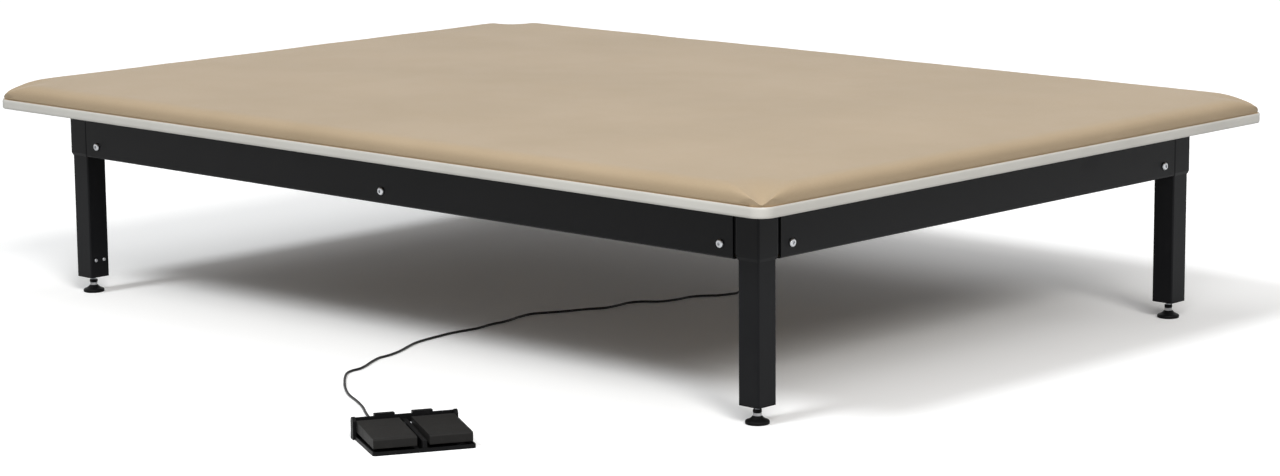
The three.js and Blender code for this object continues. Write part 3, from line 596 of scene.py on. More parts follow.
@dataclass(frozen=True)
class Moulded(Finish):
    """Moulded plastic or rubber with a spark-eroded grain."""

    name: str = "moulded_black"
    colour: Colour = (0.0040, 0.0040, 0.0043)
    scuffed: Colour = (0.0085, 0.0085, 0.0087)
    grain: Grain = Grain(1500.0, 3.0, 0.6)
    scuffs: Grain = Grain(38.0, 5.0, 0.7, window=(0.52, 0.74))
    depth: float = 0.00006
    relief: float = 0.6
    roughness: float = 0.52
    scuff_roughness: float = 0.14
    grain_gloss: float = 0.06
    specular: float = 0.08

    def mixed(self, graph: Graph) -> None:
        """Builds the finish's nodes.

        Args:
            graph: The empty graph of its material.
        """
        grain, scuffs = graph.grain(self.grain), graph.grain(self.scuffs)
        graph.surface(
            Base_Color=graph.mix(scuffs, self.colour, self.scuffed),
            Roughness=self.roughness + self.scuff_roughness * scuffs - self.grain_gloss * grain,
            Normal=graph.bump(grain, self.depth, self.relief),
            Specular_IOR_Level=self.specular,
        )


@dataclass(frozen=True)
class Casting(Finish):
    """Bead-blasted aluminium casting with darker pores."""

    name: str = "cast_aluminium"
    colour: Colour = (0.40, 0.41, 0.42)
    pores: Colour = (0.27, 0.275, 0.285)
    clouds: Grain = Grain(22.0, 3.0, window=(0.35, 0.75))
    sand: Grain = Grain(900.0, 4.0, 0.7)
    depth: float = 0.0002
    relief: float = 0.6
    metal: float = 0.85
    roughness: float = 0.42
    sand_roughness: float = 0.14

    def mixed(self, graph: Graph) -> None:
        """Builds the finish's nodes.

        Args:
            graph: The empty graph of its material.
        """
        sand = graph.grain(self.sand)
        graph.surface(
            Base_Color=graph.mix(graph.grain(self.clouds), self.colour, self.pores),
            Metallic=self.metal,
            Roughness=self.roughness + self.sand_roughness * sand,
            Normal=graph.bump(sand, self.depth, self.relief),
        )


VINYL = Vinyl()
MOULDING = Moulding()
PLYWOOD = Plywood()
POWDER_COAT = PowderCoat()
ZINC = Zinc()
WORN_ZINC = Zinc(name="worn_zinc", colour=(0.40, 0.40, 0.41), clouded=(0.27, 0.27, 0.28))
CHROME = HardChrome()
BLACK_PLASTIC = Moulded()
PAD_RUBBER = Moulded(
    name="pad_rubber",
    colour=(0.0130, 0.0125, 0.0119),
    scuffed=(0.0210, 0.0202, 0.0193),
    grain=Grain(1100.0, 3.0, 0.6),
    depth=0.00022,
    roughness=0.60,
    specular=0.12,
)
JACKET = Moulded(
    name="black_jacket",
    colour=(0.010, 0.010, 0.0105),
    scuffed=(0.019, 0.019, 0.019),
    grain=Grain(700.0, 3.0, 0.6),
    roughness=0.42,
    specular=0.25,
)
CASTING = Casting()


# Mesh tools


@dataclass
class Form:
    """A mesh in the making."""

    points: list[Vector] = field(default_factory=list)
    faces: list[tuple[int, ...]] = field(default_factory=list)
    merge: float = 1e-6  # points closer than this become one

    def loft(self, loops: Sequence[Sequence[Point]], ring: bool = False) -> "Form":
        """Adds a skin over loops of equal length.

        Args:
            loops: The loops, each a closed line of points.
            ring: Whether the last loop joins the first. If not, the two ends are closed.

        Returns:
            This form.
        """
        count = len(loops[0])
        start = len(self.points)
        self.points += [Vector(point) for loop in loops for point in loop]
        bands = len(loops) if ring else len(loops) - 1
        for band in range(bands):
            low = start + band * count
            high = start + (band + 1) % len(loops) * count
            for i in range(count):
                j = (i + 1) % count
                self.faces.append((low + i, low + j, high + j, high + i))
        if not ring:
            self.faces.append(tuple(start + i for i in reversed(range(count))))
            self.faces.append(tuple(start + (len(loops) - 1) * count + i for i in range(count)))
        return self

    def turned(self, profile: Iterable[tuple[float, float]], segments: int) -> "Form":
        """Adds a shape turned about Z from radii and heights."""
        return self.loft([circle(radius, height, segments) for radius, height in profile])

    def placed(self, matrix: Matrix) -> "Form":
        """Moves all points by a matrix."""
        self.points = [matrix @ point for point in self.points]
        return self

    def mesh(self, name: str, smooth_angle: float) -> bpy.types.Mesh:
        """Finishes the mesh.

        Args:
            name: The mesh's name.
            smooth_angle: Edges sharper than this many degrees stay sharp.

        Returns:
            The mesh, its faces turned outwards.
        """
        made = bpy.data.meshes.new(name)
        made.from_pydata([tuple(point) for point in self.points], [], self.faces)
        work = bmesh.new()
        work.from_mesh(made)
        bmesh.ops.remove_doubles(work, verts=work.verts, dist=self.merge)
        bmesh.ops.recalc_face_normals(work, faces=work.faces)
        work.to_mesh(made)
        work.free()
        made.shade_smooth()
        made.set_sharp_from_angle(angle=math.radians(smooth_angle))
        return made


def add_object(name: str, data: bpy.types.ID) -> bpy.types.Object:
    """Puts a new object into the scene.

    Args:
        name: The object's name.
        data: Its mesh, light or camera.

    Returns:
        The object.
    """
    made = bpy.data.objects.new(name, data)
    bpy.context.scene.collection.objects.link(made)
    return made


def dress(piece: bpy.types.Object, finish: Finish) -> None:
    """Gives every face of a piece one finish.

    Args:
        piece: The piece.
        finish: Its finish.
    """
    slots = piece.data.materials
    if len(slots) == 0:
        slots.append(finish.material())
    for index in range(len(slots)):
        slots[index] = finish.material()


def fit(piece: bpy.types.Object, body: str, slot: str, stands_for: Iterable[str] = ()) -> None:
    """Makes a piece part of the object.

    Args:
        piece: The piece, in its place.
        body: The body that it moves with.
        slot: The name of the material slot of its finish, which is only logged.
        stands_for: The solids that it shows in place of.
    """
    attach(piece, body)
    nodes = tuple(stands_for)
    if nodes:
        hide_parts(*nodes)
    log.info("%s rides on %s in %s", piece.name, body, slot)


def node_box(name: str) -> tuple[Vector, Vector]:
    """The lowest and the highest corner of a solid."""
    low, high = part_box(name)
    return Vector(low), Vector(high)


def around(count: int) -> list[float]:
    """The angles of points that stand evenly round Z."""
    return [FULL_TURN * i / count for i in range(count)]


def circle(radius: float, height: float, count: int = LOOP_POINTS) -> list[Point]:
    """A round loop about Z."""
    return [(radius * math.cos(angle), radius * math.sin(angle), height) for angle in around(count)]


def hexagon(radius: float, height: float, count: int = LOOP_POINTS) -> list[Point]:
    """A six-sided loop about Z.

    Args:
        radius: The radius to its corners.
        height: Its height.
        count: Its points.

    Returns:
        The loop.
    """
    flat = radius * math.cos(math.pi / 6)
    points: list[Point] = []
    for angle in around(count):
        reach = flat / math.cos(angle % (math.pi / 3) - math.pi / 6)
        points.append((reach * math.cos(angle), reach * math.sin(angle), height))
    return points


def ribbed(radius: float, height: float, depth: float = 0.35) -> list[Point]:
    """A ribbed loop about Z.

    Args:
        radius: The radius to the top of its ribs.
        height: Its height.
        depth: How far every other point lies in.

    Returns:
        The loop.
    """
    points: list[Point] = []
    for i, angle in enumerate(around(LOOP_POINTS)):
        reach = radius if i % 2 else radius - depth
        points.append((reach * math.cos(angle), reach * math.sin(angle), height))
    return points


def cross(reach: float, waist: float, height: float, sharpness: int = 3) -> list[Point]:
    """A cross-shaped loop about Z for a screw's recess.

    Args:
        reach: The radius to the ends of its arms.
        waist: The radius between its arms.
        height: Its height.
        sharpness: How narrow its arms are.

    Returns:
        The loop.
    """
    points: list[Point] = []
    for angle in around(LOOP_POINTS):
        radius = waist + (reach - waist) * abs(math.cos(2 * angle)) ** sharpness
        points.append((radius * math.cos(angle), radius * math.sin(angle), height))
    return points


@dataclass(frozen=True)
class Thread:
    """A right-hand thread about Z."""

    radius: float  # to its crests
    pitch: float
    depth: float
    low: float
    high: float
    count: int = LOOP_POINTS
    loops_per_turn: int = 4
    runout: float = 1.3  # of its depth, cut away at both ends

    def loops(self) -> list[list[Point]]:
        """Builds the thread.

        Returns:
            Its loops, with a tapered start and end.
        """
        steps = round((self.high - self.low) / self.pitch * self.loops_per_turn)
        root = self.radius - self.depth * self.runout
        loops = [circle(root, self.low, self.count)]
        for step in range(1, steps):
            height = self.low + (self.high - self.low) * step / steps
            loop: list[Point] = []
            for i, angle in enumerate(around(self.count)):
                share = (height / self.pitch - i / self.count) % 1.0
                reach = self.radius - self.depth * (1 - abs(2 * share - 1))
                loop.append((reach * math.cos(angle), reach * math.sin(angle), height))
            loops.append(loop)
        return [*loops, circle(root, self.high, self.count)]


Station = tuple[Callable[[float, float], list[Point]], float, float]


def lofted(stations: Iterable[Station]) -> Form:
    """A form over loops that are each given by shape, radius and height."""
    return Form().loft([shape(radius, height) for shape, radius, height in stations])


def facing(direction: Vector, place: Vector) -> Matrix:
    """The matrix that turns +Z into a direction and moves the origin to a place."""
    turn = Vector((0.0, 0.0, 1.0)).rotation_difference(direction).to_matrix().to_4x4()
    return Matrix.Translation(place) @ turn


# Table top


@dataclass(frozen=True)
class Stretch:
    """The cloth simulation that stretches the cover over its foam."""

    steps: int = 16
    limit: float = 0.003  # how far any point may move
    pressure: float = 4.0
    quality: int = 4
    mass: float = 0.4
    tension: float = 40.0
    compression: float = 20.0
    shear: float = 12.0
    bending: float = 2.0
    still: float = 1e-9  # a shorter move counts as none


@dataclass(frozen=True)
class Lumps:
    """Slight unevenness in the foam and the cover."""

    per_metre: float
    height: float
    layer: float  # which slice of the noise it is

    def at(self, x: float, y: float) -> float:
        """Its height at a point."""
        return noise.noise(Vector((x * self.per_metre, y * self.per_metre, self.layer))) * self.height


@dataclass
class TableTop:
    """The cushion, the edge moulding and the panel."""

    half_length: float = 1.067
    half_width: float = 0.762
    corner_radius: float = 0.032
    underside: float = 0.395
    panel: float = 0.01905
    face: float = 0.0032
    base: float = 0.41435

    # Cushion
    tuck_height: float = 0.004
    shoulder: float = 0.0340
    crown: float = 0.0370
    roll: float = 0.038
    roll_power: float = 2.9
    roll_steps: int = 10
    roll_crowding: float = 1.5
    spacing: float = 0.024
    squeeze_reach: float = 2.2  # in corner radii
    corner_low: float = 0.0010
    corner_run: float = 0.118
    corner_power: float = 1.3
    corner_valley: float = 0.35
    valley_floor: float = 0.004
    corner_blend: float = 0.007
    corner_fade: float = 4.0  # in blends
    tucks: Profile = ((0.0003, 0.65), (0.0009, 0.3), (0.0016, 0.0))  # inset and share of the height
    stretch: Stretch = Stretch()
    side_waves: Lumps = Lumps(7.0, 0.0011, 3.1)
    side_middle: float = 0.02
    side_reach: float = 0.06
    foam: Lumps = Lumps(2.3, 0.0006, 8.7)
    foam_fade: float = 0.01
    cover_angle: float = 60.0

    # Moulding
    face_steps: int = 10
    face_crown: float = 0.0010
    face_power: int = 6
    barb: float = 0.0012
    barb_depth: float = 0.0095
    bend_steps: int = 20
    moulding_angle: float = 38.0

    def lines(self, half: float) -> list[float]:
        """Grid lines across the cushion, close together in the rolled sides and wider in the middle.

        Args:
            half: Half the cushion's size in this direction.

        Returns:
            The lines' places, from one side to the other.
        """
        turns = [QUARTER_TURN * i / self.roll_steps for i in range(self.roll_steps)]
        insets = [self.roll * (1 - math.cos(turn)) ** self.roll_crowding for turn in turns]
        rest = half - self.roll
        count = round(rest / self.spacing)
        insets += [self.roll + rest * i / count for i in range(count)]
        outer = [half - inset for inset in insets]
        return [-x for x in outer] + [0.0] + outer[::-1]

    def plan(self, x: float, y: float) -> tuple[float, float, float]:
        """Moves a grid point into the rounded outline.

        Args:
            x: The grid point's X.
            y: The grid point's Y.

        Returns:
            The moved X and Y, and the point's distance inside the outline.
        """
        half_x, half_y = self.half_length - self.face, self.half_width - self.face
        radius = self.corner_radius - self.face
        reach = radius * self.squeeze_reach
        across, along = (abs(x) - half_x + reach) / reach, (abs(y) - half_y + reach) / reach
        if across > 0 and along > 0:
            squeeze = radius / reach * (math.sqrt(2) - 1) * math.sqrt(2) / 2
            across, along = (
                across * (1 - squeeze * along**4 * across**2),
                along * (1 - squeeze * across**4 * along**2),
            )
            x = math.copysign(half_x - reach + reach * across, x)
            y = math.copysign(half_y - reach + reach * along, y)
        corner_x = max(abs(x) - (half_x - radius), 0.0)
        corner_y = max(abs(y) - (half_y - radius), 0.0)
        outside = math.hypot(corner_x, corner_y)
        if outside > radius:
            x = math.copysign(half_x - radius + corner_x * radius / outside, x)
            y = math.copysign(half_y - radius + corner_y * radius / outside, y)
            outside = radius
        inside = radius - outside if corner_x or corner_y else min(half_x - abs(x), half_y - abs(y))
        return x, y, max(inside, 0.0)

    def height(self, x: float, y: float, inside: float) -> float:
        """The cover's height over the panel: rolled at the sides, crowned, and drawn down at the corners.

        Args:
            x: The point's X.
            y: The point's Y.
            inside: Its distance inside the outline.

        Returns:
            The height.
        """
        if inside < self.roll:
            power = self.roll_power
            fullness = max(1 - (1 - inside / self.roll) ** power, 0.0) ** (1 / power)
            rise = self.tuck_height + (self.shoulder - self.tuck_height) * fullness
        else:
            share = (inside - self.roll) / (self.half_width - self.roll)
            rise = self.shoulder + (self.crown - self.shoulder) * (1 - (1 - share) ** 2)
        from_end, from_side = self.half_length - abs(x), self.half_width - abs(y)
        diagonal = (from_end + from_side) / math.sqrt(2) - self.corner_radius * (math.sqrt(2) - 1)
        across = (from_end - from_side) / math.sqrt(2)
        if 0.0 <= diagonal < self.corner_run:
            power = self.corner_power
            fullness = (1 - (1 - diagonal / self.corner_run) ** power) ** (1 / power)
            slope = self.corner_low + (self.crown - self.corner_low) * fullness
            slope += self.corner_valley * across**2 / (diagonal + self.valley_floor)
            gap = max(self.corner_blend - abs(rise - slope), 0.0) / self.corner_blend
            gap *= min((self.corner_run - diagonal) / self.corner_blend / self.corner_fade, 1.0)
            rise = min(rise, slope) - gap**2 * self.corner_blend / 4
            rise = max(rise, self.corner_low)
        return rise

    @staticmethod
    def rim(wide: int, deep: int) -> list[int]:
        """The outer points of a grid, in order round it.

        Args:
            wide: The grid's points along X.
            deep: The grid's points along Y.

        Returns:
            The points' numbers.
        """
        last = (deep - 1) * wide
        front = list(range(wide - 1))
        right = [row * wide + wide - 1 for row in range(deep - 1)]
        rear = [last + i for i in range(wide - 1, 0, -1)]
        left = [row * wide for row in range(deep - 1, 0, -1)]
        return front + right + rear + left

    def drawn_in(self, point: Vector, inset: float, share: float) -> Vector:
        """Draws a point towards the middle of the cushion and down.

        Args:
            point: The point.
            inset: How far the cushion's edge is drawn in.
            share: What is left of the point's height over the panel.

        Returns:
            The new point.
        """
        x, y, z = point
        shrunk = (x * (1 - inset / self.half_length), y * (1 - inset / self.half_width))
        return Vector((*shrunk, self.base + share * (z - self.base)))

    def cover(self) -> bpy.types.Object:
        """Builds the cushion's closed cover, its lower edge tucked in and its underside flat on the panel.

        Returns:
            The cover, with the edge and the underside in the vertex group "tucked".
        """
        xs = self.lines(self.half_length - self.face)
        ys = self.lines(self.half_width - self.face)
        form = Form()
        for y in ys:
            for x in xs:
                px, py, inside = self.plan(x, y)
                form.points.append(Vector((px, py, self.base + self.height(px, py, inside))))
        wide, deep = len(xs), len(ys)
        squares = [(j * wide + i, (j + 1) * wide + i) for j in range(deep - 1) for i in range(wide - 1)]
        form.faces += [(near, near + 1, far + 1, far) for near, far in squares]
        rim = self.rim(wide, deep)
        previous = rim
        for inset, share in self.tucks:
            start = len(form.points)
            form.points += [self.drawn_in(form.points[index], inset, share) for index in rim]
            ring = [start + i for i in range(len(rim))]
            for i in range(len(rim)):
                j = (i + 1) % len(rim)
                form.faces.append((previous[i], ring[i], ring[j], previous[j]))
            previous = ring
        under = dict(zip(rim, previous))
        last_inset, last_share = self.tucks[-1]
        for j in range(1, deep - 1):
            for i in range(1, wide - 1):
                under[j * wide + i] = len(form.points)
                form.points.append(self.drawn_in(form.points[j * wide + i], last_inset, last_share))
        form.faces += [(under[near], under[far], under[far + 1], under[near + 1]) for near, far in squares]
        data = bpy.data.meshes.new("cushion_cover")
        data.from_pydata([tuple(point) for point in form.points], [], form.faces)
        piece = add_object("cushion_cover", data)
        pins = piece.vertex_groups.new(name="tucked")
        pins.add(list(range(wide * deep, len(form.points))) + rim, 1.0, "REPLACE")
        return piece

    def settle(self, piece: bpy.types.Object) -> None:
        """Lets the cover stretch over its foam by a short cloth simulation, its edge held in the tuck.

        Args:
            piece: The cover, with its vertex group "tucked".
        """
        rest = np.array([vertex.co for vertex in piece.data.vertices])
        cloth = piece.modifiers.new("stretched", "CLOTH")
        settings = cloth.settings
        settings.vertex_group_mass = "tucked"
        settings.use_pressure = True
        settings.uniform_pressure_force = self.stretch.pressure
        settings.quality = self.stretch.quality
        settings.mass = self.stretch.mass
        settings.tension_stiffness = self.stretch.tension
        settings.compression_stiffness = self.stretch.compression
        settings.shear_stiffness = self.stretch.shear
        settings.bending_stiffness = self.stretch.bending
        settings.effector_weights.gravity = 0.0
        cloth.collision_settings.use_collision = False
        cloth.point_cache.frame_end = self.stretch.steps
        scene = bpy.context.scene
        for step in range(1, self.stretch.steps + 1):
            scene.frame_set(step)
        shaped = piece.evaluated_get(bpy.context.evaluated_depsgraph_get()).data
        moved = np.array([vertex.co for vertex in shaped.vertices]) - rest
        scene.frame_set(1)
        piece.modifiers.remove(cloth)
        limit = self.stretch.limit
        reach = np.linalg.norm(moved, axis=1, keepdims=True)
        held = moved * (limit * np.tanh(reach / limit) / np.maximum(reach, self.stretch.still))
        piece.data.vertices.foreach_set("co", (rest + held).ravel())
        log.info("the cover moved by up to %.1f mm before its limit", 1000 * float(reach.max()))

    def work_in(self, piece: bpy.types.Object) -> None:
        """Adds the slight unevenness of foam and of a cover pulled down by hand.

        Args:
            piece: The cover, with the table's centre at x = y = 0.
        """
        for vertex in piece.data.vertices:
            x, y, z = vertex.co
            inside = min(self.half_length - abs(x), self.half_width - abs(y))
            side = max(0.0, 1 - abs(inside - self.side_middle) / self.side_reach)
            rise = min(max((z - self.base - self.tuck_height) / self.foam_fade, 0.0), 1.0)
            vertex.co.z = z + (self.side_waves.at(x, y) * side + self.foam.at(x, y)) * rise

    def cushion(self) -> None:
        """Makes the cushion."""
        piece = self.cover()
        self.settle(piece)
        self.work_in(piece)
        for vertex in piece.data.vertices:
            vertex.co.y += ROW_SHIFT
        piece.data.shade_smooth()
        piece.data.set_sharp_from_angle(angle=math.radians(self.cover_angle))
        finer = piece.modifiers.new("finer", "SUBSURF")
        finer.levels = finer.render_levels = 1
        dress(piece, VINYL)
        fit(piece, Body.TOP.value, "vinyl", ["cushion"])

    def outline(self, inset: float, height: float) -> list[Point]:
        """The outline of the top, counter-clockwise seen from above.

        Args:
            inset: How far inside the edge it lies.
            height: Its height.

        Returns:
            The loop.
        """
        radius = self.corner_radius - inset
        half_x, half_y = self.half_length - self.corner_radius, self.half_width - self.corner_radius
        points: list[Point] = []
        for quarter, (side_x, side_y) in enumerate(((1, 1), (-1, 1), (-1, -1), (1, -1))):
            for step in range(self.bend_steps + 1):
                angle = (quarter + step / self.bend_steps) * QUARTER_TURN
                x = side_x * half_x + radius * math.cos(angle)
                points.append((x, side_y * half_y + radius * math.sin(angle) + ROW_SHIFT, height))
        return points

    def moulding(self) -> None:
        """Builds the pressed-in moulding with a crowned face, finely rounded corners and its barb."""
        shares = [i / self.face_steps for i in range(self.face_steps + 1)]
        loops = [
            self.outline(self.face_crown * (2 * s - 1) ** self.face_power, self.underside + self.panel * s)
            for s in shares
        ]
        middle = self.underside + self.panel / 2
        inner = self.face + self.barb_depth
        loops += [
            self.outline(self.face, self.underside + self.panel),
            self.outline(self.face, middle + self.barb),
            self.outline(inner, middle + self.barb),
            self.outline(inner, middle - self.barb),
            self.outline(self.face, middle - self.barb),
            self.outline(self.face, self.underside),
        ]
        data = Form().loft(loops, ring=True).mesh("moulding_strip", self.moulding_angle)
        piece = add_object("moulding_strip", data)
        dress(piece, MOULDING)
        fit(piece, Body.TOP.value, "moulding", ["edge_moulding"])

    def build(self) -> None:
        """Makes the cushion and the moulding, and dresses the panel."""
        self.cushion()
        dress(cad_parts["top_panel"], PLYWOOD)
        self.moulding()


# Fasteners and feet


@dataclass
class RailBolts:
    """The button-head bolts that hold the rails, each with a hexagon socket and a cut thread."""

    head: float = 0.008
    head_edge: float = 0.0003
    rim: float = 0.0010
    height: float = 0.0046
    dome_steps: int = 7
    socket: float = 0.0030
    socket_depth: float = 0.0030
    socket_lip: float = 0.00384
    socket_mouth: float = 0.0033
    socket_chamfer: float = 0.0004
    drilled: float = 0.0015
    shank: float = 0.0040
    length: float = 0.0140
    pitch: float = 0.00125
    thread_depth: float = 0.0007
    thread_end: float = 0.0012
    neck: float = 0.0008
    smooth_angle: float = 30.0

    def form(self) -> Form:
        """Builds one bolt.

        Returns:
            The bolt, its head towards +Z and the underside of the head at z = 0.
        """
        thread = Thread(self.shank, self.pitch, self.thread_depth, -self.length, -self.thread_end)
        loops = [*thread.loops(), circle(self.shank, -self.neck), circle(self.shank, 0.0)]
        loops += [circle(self.head - self.head_edge, 0.0), circle(self.head, self.head_edge)]
        for step in range(self.dome_steps + 1):
            angle = QUARTER_TURN * step / self.dome_steps
            radius = self.socket_lip + (self.head - self.socket_lip) * math.cos(angle)
            loops.append(circle(radius, self.rim + (self.height - self.rim) * math.sin(angle)))
        floor = self.height - self.socket_depth
        loops += [
            circle(self.socket_mouth, self.height),
            hexagon(self.socket, self.height - self.socket_chamfer),
            hexagon(self.socket, floor),
            circle(self.drilled, floor - self.socket_chamfer),
        ]
        return Form().loft(loops)

    def build(self) -> None:
        """Puts a bolt in the place of each bolt of the solids."""
        for name in sorted(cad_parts):
            if not name.startswith("bolt_"):
                continue
            low, high = node_box(name)
            size, middle = high - low, (high + low) / 2
            axis = max(range(3), key=lambda i: size[i])
            outwards = Vector((0.0, 0.0, 0.0))
            outwards[axis] = math.copysign(1.0, middle[axis] - SHIFT[axis])
            tip = middle + outwards * size[axis] / 2
            form = self.form().placed(facing(outwards, tip - outwards * self.height))
            piece = add_object(f"rail_{name}", form.mesh(f"rail_{name}", self.smooth_angle))
            dress(piece, ZINC)
            fit(piece, Body.TOP.value, "plated_steel", [name])


@dataclass
class PanScrews:
    """The small pan-head screws with a cross recess."""

    head: float = 0.0037
    height: float = 0.0023
    rim_share: float = 0.35  # of the height
    crest: float = 0.001924
    dome_steps: int = 5
    recess: tuple[Point, ...] = (  # reach, waist and height of each cross
        (0.001776, 0.000592, 0.0022),
        (0.00148, 0.000481, 0.001035),
        (0.000444, 0.000222, 0.000575),
    )
    shank: float = 0.0019
    length: float = 0.0034
    pitch: float = 0.0008
    thread_depth: float = 0.0003
    thread_end: float = 0.0004
    smooth_angle: float = 34.0
    leg_height: float = 0.0705
    leg_spread: float = 0.0105
    ear: float = 0.014
    ear_inset: float = 0.009

    def form(self) -> Form:
        """Builds one screw.

        Returns:
            The screw, its head towards +Z and the underside of the head at z = 0.
        """
        thread = Thread(self.shank, self.pitch, self.thread_depth, -self.length, -self.thread_end)
        loops = [*thread.loops(), circle(self.shank, 0.0), circle(self.head, 0.0)]
        for step in range(self.dome_steps + 1):
            angle = QUARTER_TURN * step / self.dome_steps
            rise = self.rim_share + (1 - self.rim_share) * math.sin(angle)
            loops.append(circle(self.crest + (self.head - self.crest) * math.cos(angle), self.height * rise))
        return Form().loft(loops + [cross(*sizes) for sizes in self.recess])

    def put(self, name: str, place: Vector, outwards: Vector) -> None:
        """Adds one screw.

        Args:
            name: The screw's name.
            place: Where the underside of its head lies.
            outwards: The direction that its head faces.
        """
        form = self.form().placed(facing(outwards, place))
        piece = add_object(name, form.mesh(name, self.smooth_angle))
        dress(piece, ZINC)
        fit(piece, Body.TOP.value, "plated_steel")

    def build(self) -> None:
        """Puts two screws in each leg, where they hold its glide bush, and four in the control box's lid."""
        for corner in Corner:
            low, high = node_box(f"leg_{corner.tag}")
            x = low.x if corner.side > 0 else high.x
            middle = (low.y + high.y) / 2
            for number, offset in enumerate((-self.leg_spread, self.leg_spread), 1):
                place = Vector((x, middle + offset, self.leg_height))
                self.put(f"leg_screw_{corner.tag}_{number}", place, Vector((-corner.side, 0.0, 0.0)))
        low, high = node_box("control_box")
        left, right = low.x + self.ear + self.ear_inset, high.x - self.ear - self.ear_inset
        front, rear = low.y + self.ear_inset, high.y - self.ear_inset
        places = ((left, front), (right, front), (right, rear), (left, rear))
        for number, (x, y) in enumerate(places, 1):
            self.put(f"box_screw_{number}", Vector((x, y, low.z)), Vector((0.0, 0.0, -1.0)))


@dataclass
class LevellingFeet:
    """The levelling feet, each a moulded pad, a plated collar, a black lock nut and a threaded stud.

    Sizes are in millimetres. Each profile holds radii and heights.
    """

    pad: Profile = (
        (16.8, 1.2),
        (17.6, 0.3),
        (18.4, 0.0),
        (20.4, 0.0),
        (21.3, 0.4),
        (21.9, 1.4),
        (22.0, 2.6),
        (22.0, 4.4),
        (21.7, 5.5),
        (20.9, 6.4),
        (19.6, 7.1),
        (17.4, 7.9),
        (14.6, 9.2),
        (12.2, 10.8),
        (10.4, 12.6),
        (9.2, 14.0),
        (8.5, 14.5),
        (7.6, 14.6),
    )
    collar: Profile = ((6.6, 13.0), (7.4, 14.4), (7.6, 15.2), (7.6, 19.4), (7.2, 20.0), (6.2, 20.4))
    nut: tuple[Station, ...] = (
        (circle, 5.05, 20.8),
        (circle, 7.2244, 20.4),
        (hexagon, 8.6, 21.1),
        (hexagon, 8.6, 25.9),
        (circle, 7.2244, 26.6),
        (circle, 5.25, 26.6),
        (circle, 5.05, 26.2),
    )
    stud: Thread = Thread(5.0, 1.5, 0.8, 14.0, 61.7, 20)
    pad_segments: int = 48
    collar_segments: int = 32
    smooth_angle: float = 28.0
    stud_angle: float = 50.0

    def build(self) -> None:
        """Builds the four pieces of each foot."""
        for corner in Corner:
            node = f"levelling_foot_{corner.tag}"
            low, high = node_box(node)
            middle = (low + high) / 2
            place = Matrix.Translation((middle.x, middle.y, 0.0)) @ MILLIMETRES
            pad = Form().turned(self.pad, self.pad_segments)
            collar = Form().turned(self.collar, self.collar_segments)
            stud = Form().loft(self.stud.loops())
            parts = (
                ("foot_pad", pad, BLACK_PLASTIC, "black_plastic", self.smooth_angle),
                ("foot_collar", collar, WORN_ZINC, "plated_steel", self.smooth_angle),
                ("foot_nut", lofted(self.nut), BLACK_PLASTIC, "black_plastic", self.smooth_angle),
                ("foot_stud", stud, ZINC, "plated_steel", self.stud_angle),
            )
            for title, form, finish, slot, angle in parts:
                name = f"{title}_{corner.tag}"
                piece = add_object(name, form.placed(place).mesh(name, angle))
                dress(piece, finish)
                fit(piece, corner.foot_body, slot, [node])


@dataclass
class Glands:
    """The strain relief on the pedal and the cable gland under the control box, sized in millimetres."""

    boot_at: Point = (0.50688, -1.12111, 0.019)  # metres from the table's centre
    boot_turn: float = math.radians(61.5)
    boot_flange: Profile = ((5.5, 0.0), (6.0, 0.5), (6.0, 2.4), (5.4, 3.0), (4.9, 3.1))
    boot_end: Profile = ((3.6, 19.3), (3.5, 19.8), (2.7, 20.0))
    boot_segments: int = 28
    boot_angle: float = 34.0
    ribs: int = 6
    ribs_start: float = 3.6
    ribs_run: float = 15.6
    ribs_from: float = 4.6  # the radius tapers from this
    ribs_to: float = 3.5
    rib: Profile = ((0.0, 0.0), (0.52, 0.0), (0.60, 0.8), (0.92, 0.8))  # share of its step and depth
    dome_at: Point = (0.118, 0.262, 0.3444)  # metres from the table's centre
    dome: tuple[Station, ...] = (
        (circle, 5.0, 0.0),
        (circle, 7.4, 0.0),
        (hexagon, 9.0, -0.6),
        (hexagon, 9.0, -4.6),
        (circle, 7.5, -5.2),
        (circle, 6.0, -5.3),
        (circle, 6.0, -5.9),
        (circle, 6.5, -6.0),
        (ribbed, 6.45, -6.4),
        (ribbed, 6.45, -10.6),
        (circle, 6.1, -11.2),
        (circle, 5.4, -13.2),
        (circle, 4.4, -15.2),
        (circle, 4.0, -15.8),
        (circle, 3.0, -16.0),
    )
    dome_angle: float = 30.0

    def boot(self) -> Form:
        """Builds the tapered boot with grooves that let it bend.

        Returns:
            The boot, towards +Z from z = 0.
        """
        profile = list(self.boot_flange)
        step = self.ribs_run / self.ribs
        for number in range(self.ribs):
            low = self.ribs_start + step * number
            radius = self.ribs_from + (self.ribs_to - self.ribs_from) * (number + 0.5) / self.ribs
            profile += [(radius - depth, low + step * share) for share, depth in self.rib]
        return Form().turned([*profile, *self.boot_end], self.boot_segments)

    def put(self, name: str, form: Form, angle: float, body: Body, node: str) -> None:
        """Adds one gland.

        Args:
            name: The gland's name.
            form: Its form, in its place.
            angle: Edges sharper than this many degrees stay sharp.
            body: The body that it rides on.
            node: The solid that it stands for.
        """
        piece = add_object(name, form.mesh(name, angle))
        dress(piece, BLACK_PLASTIC)
        fit(piece, body.value, "black_plastic", [node])

    def build(self) -> None:
        """Puts both glands in their places."""
        rearwards = Vector((-math.sin(self.boot_turn), math.cos(self.boot_turn), 0.0))
        boot = self.boot().placed(facing(rearwards, Vector(self.boot_at) + SHIFT) @ MILLIMETRES)
        self.put("cord_boot", boot, self.boot_angle, Body.STAND, "pedal_gland")
        dome = lofted(self.dome).placed(Matrix.Translation(Vector(self.dome_at) + SHIFT) @ MILLIMETRES)
        self.put("box_gland", dome, self.dome_angle, Body.TOP, "control_box_gland")


# Frame and legs


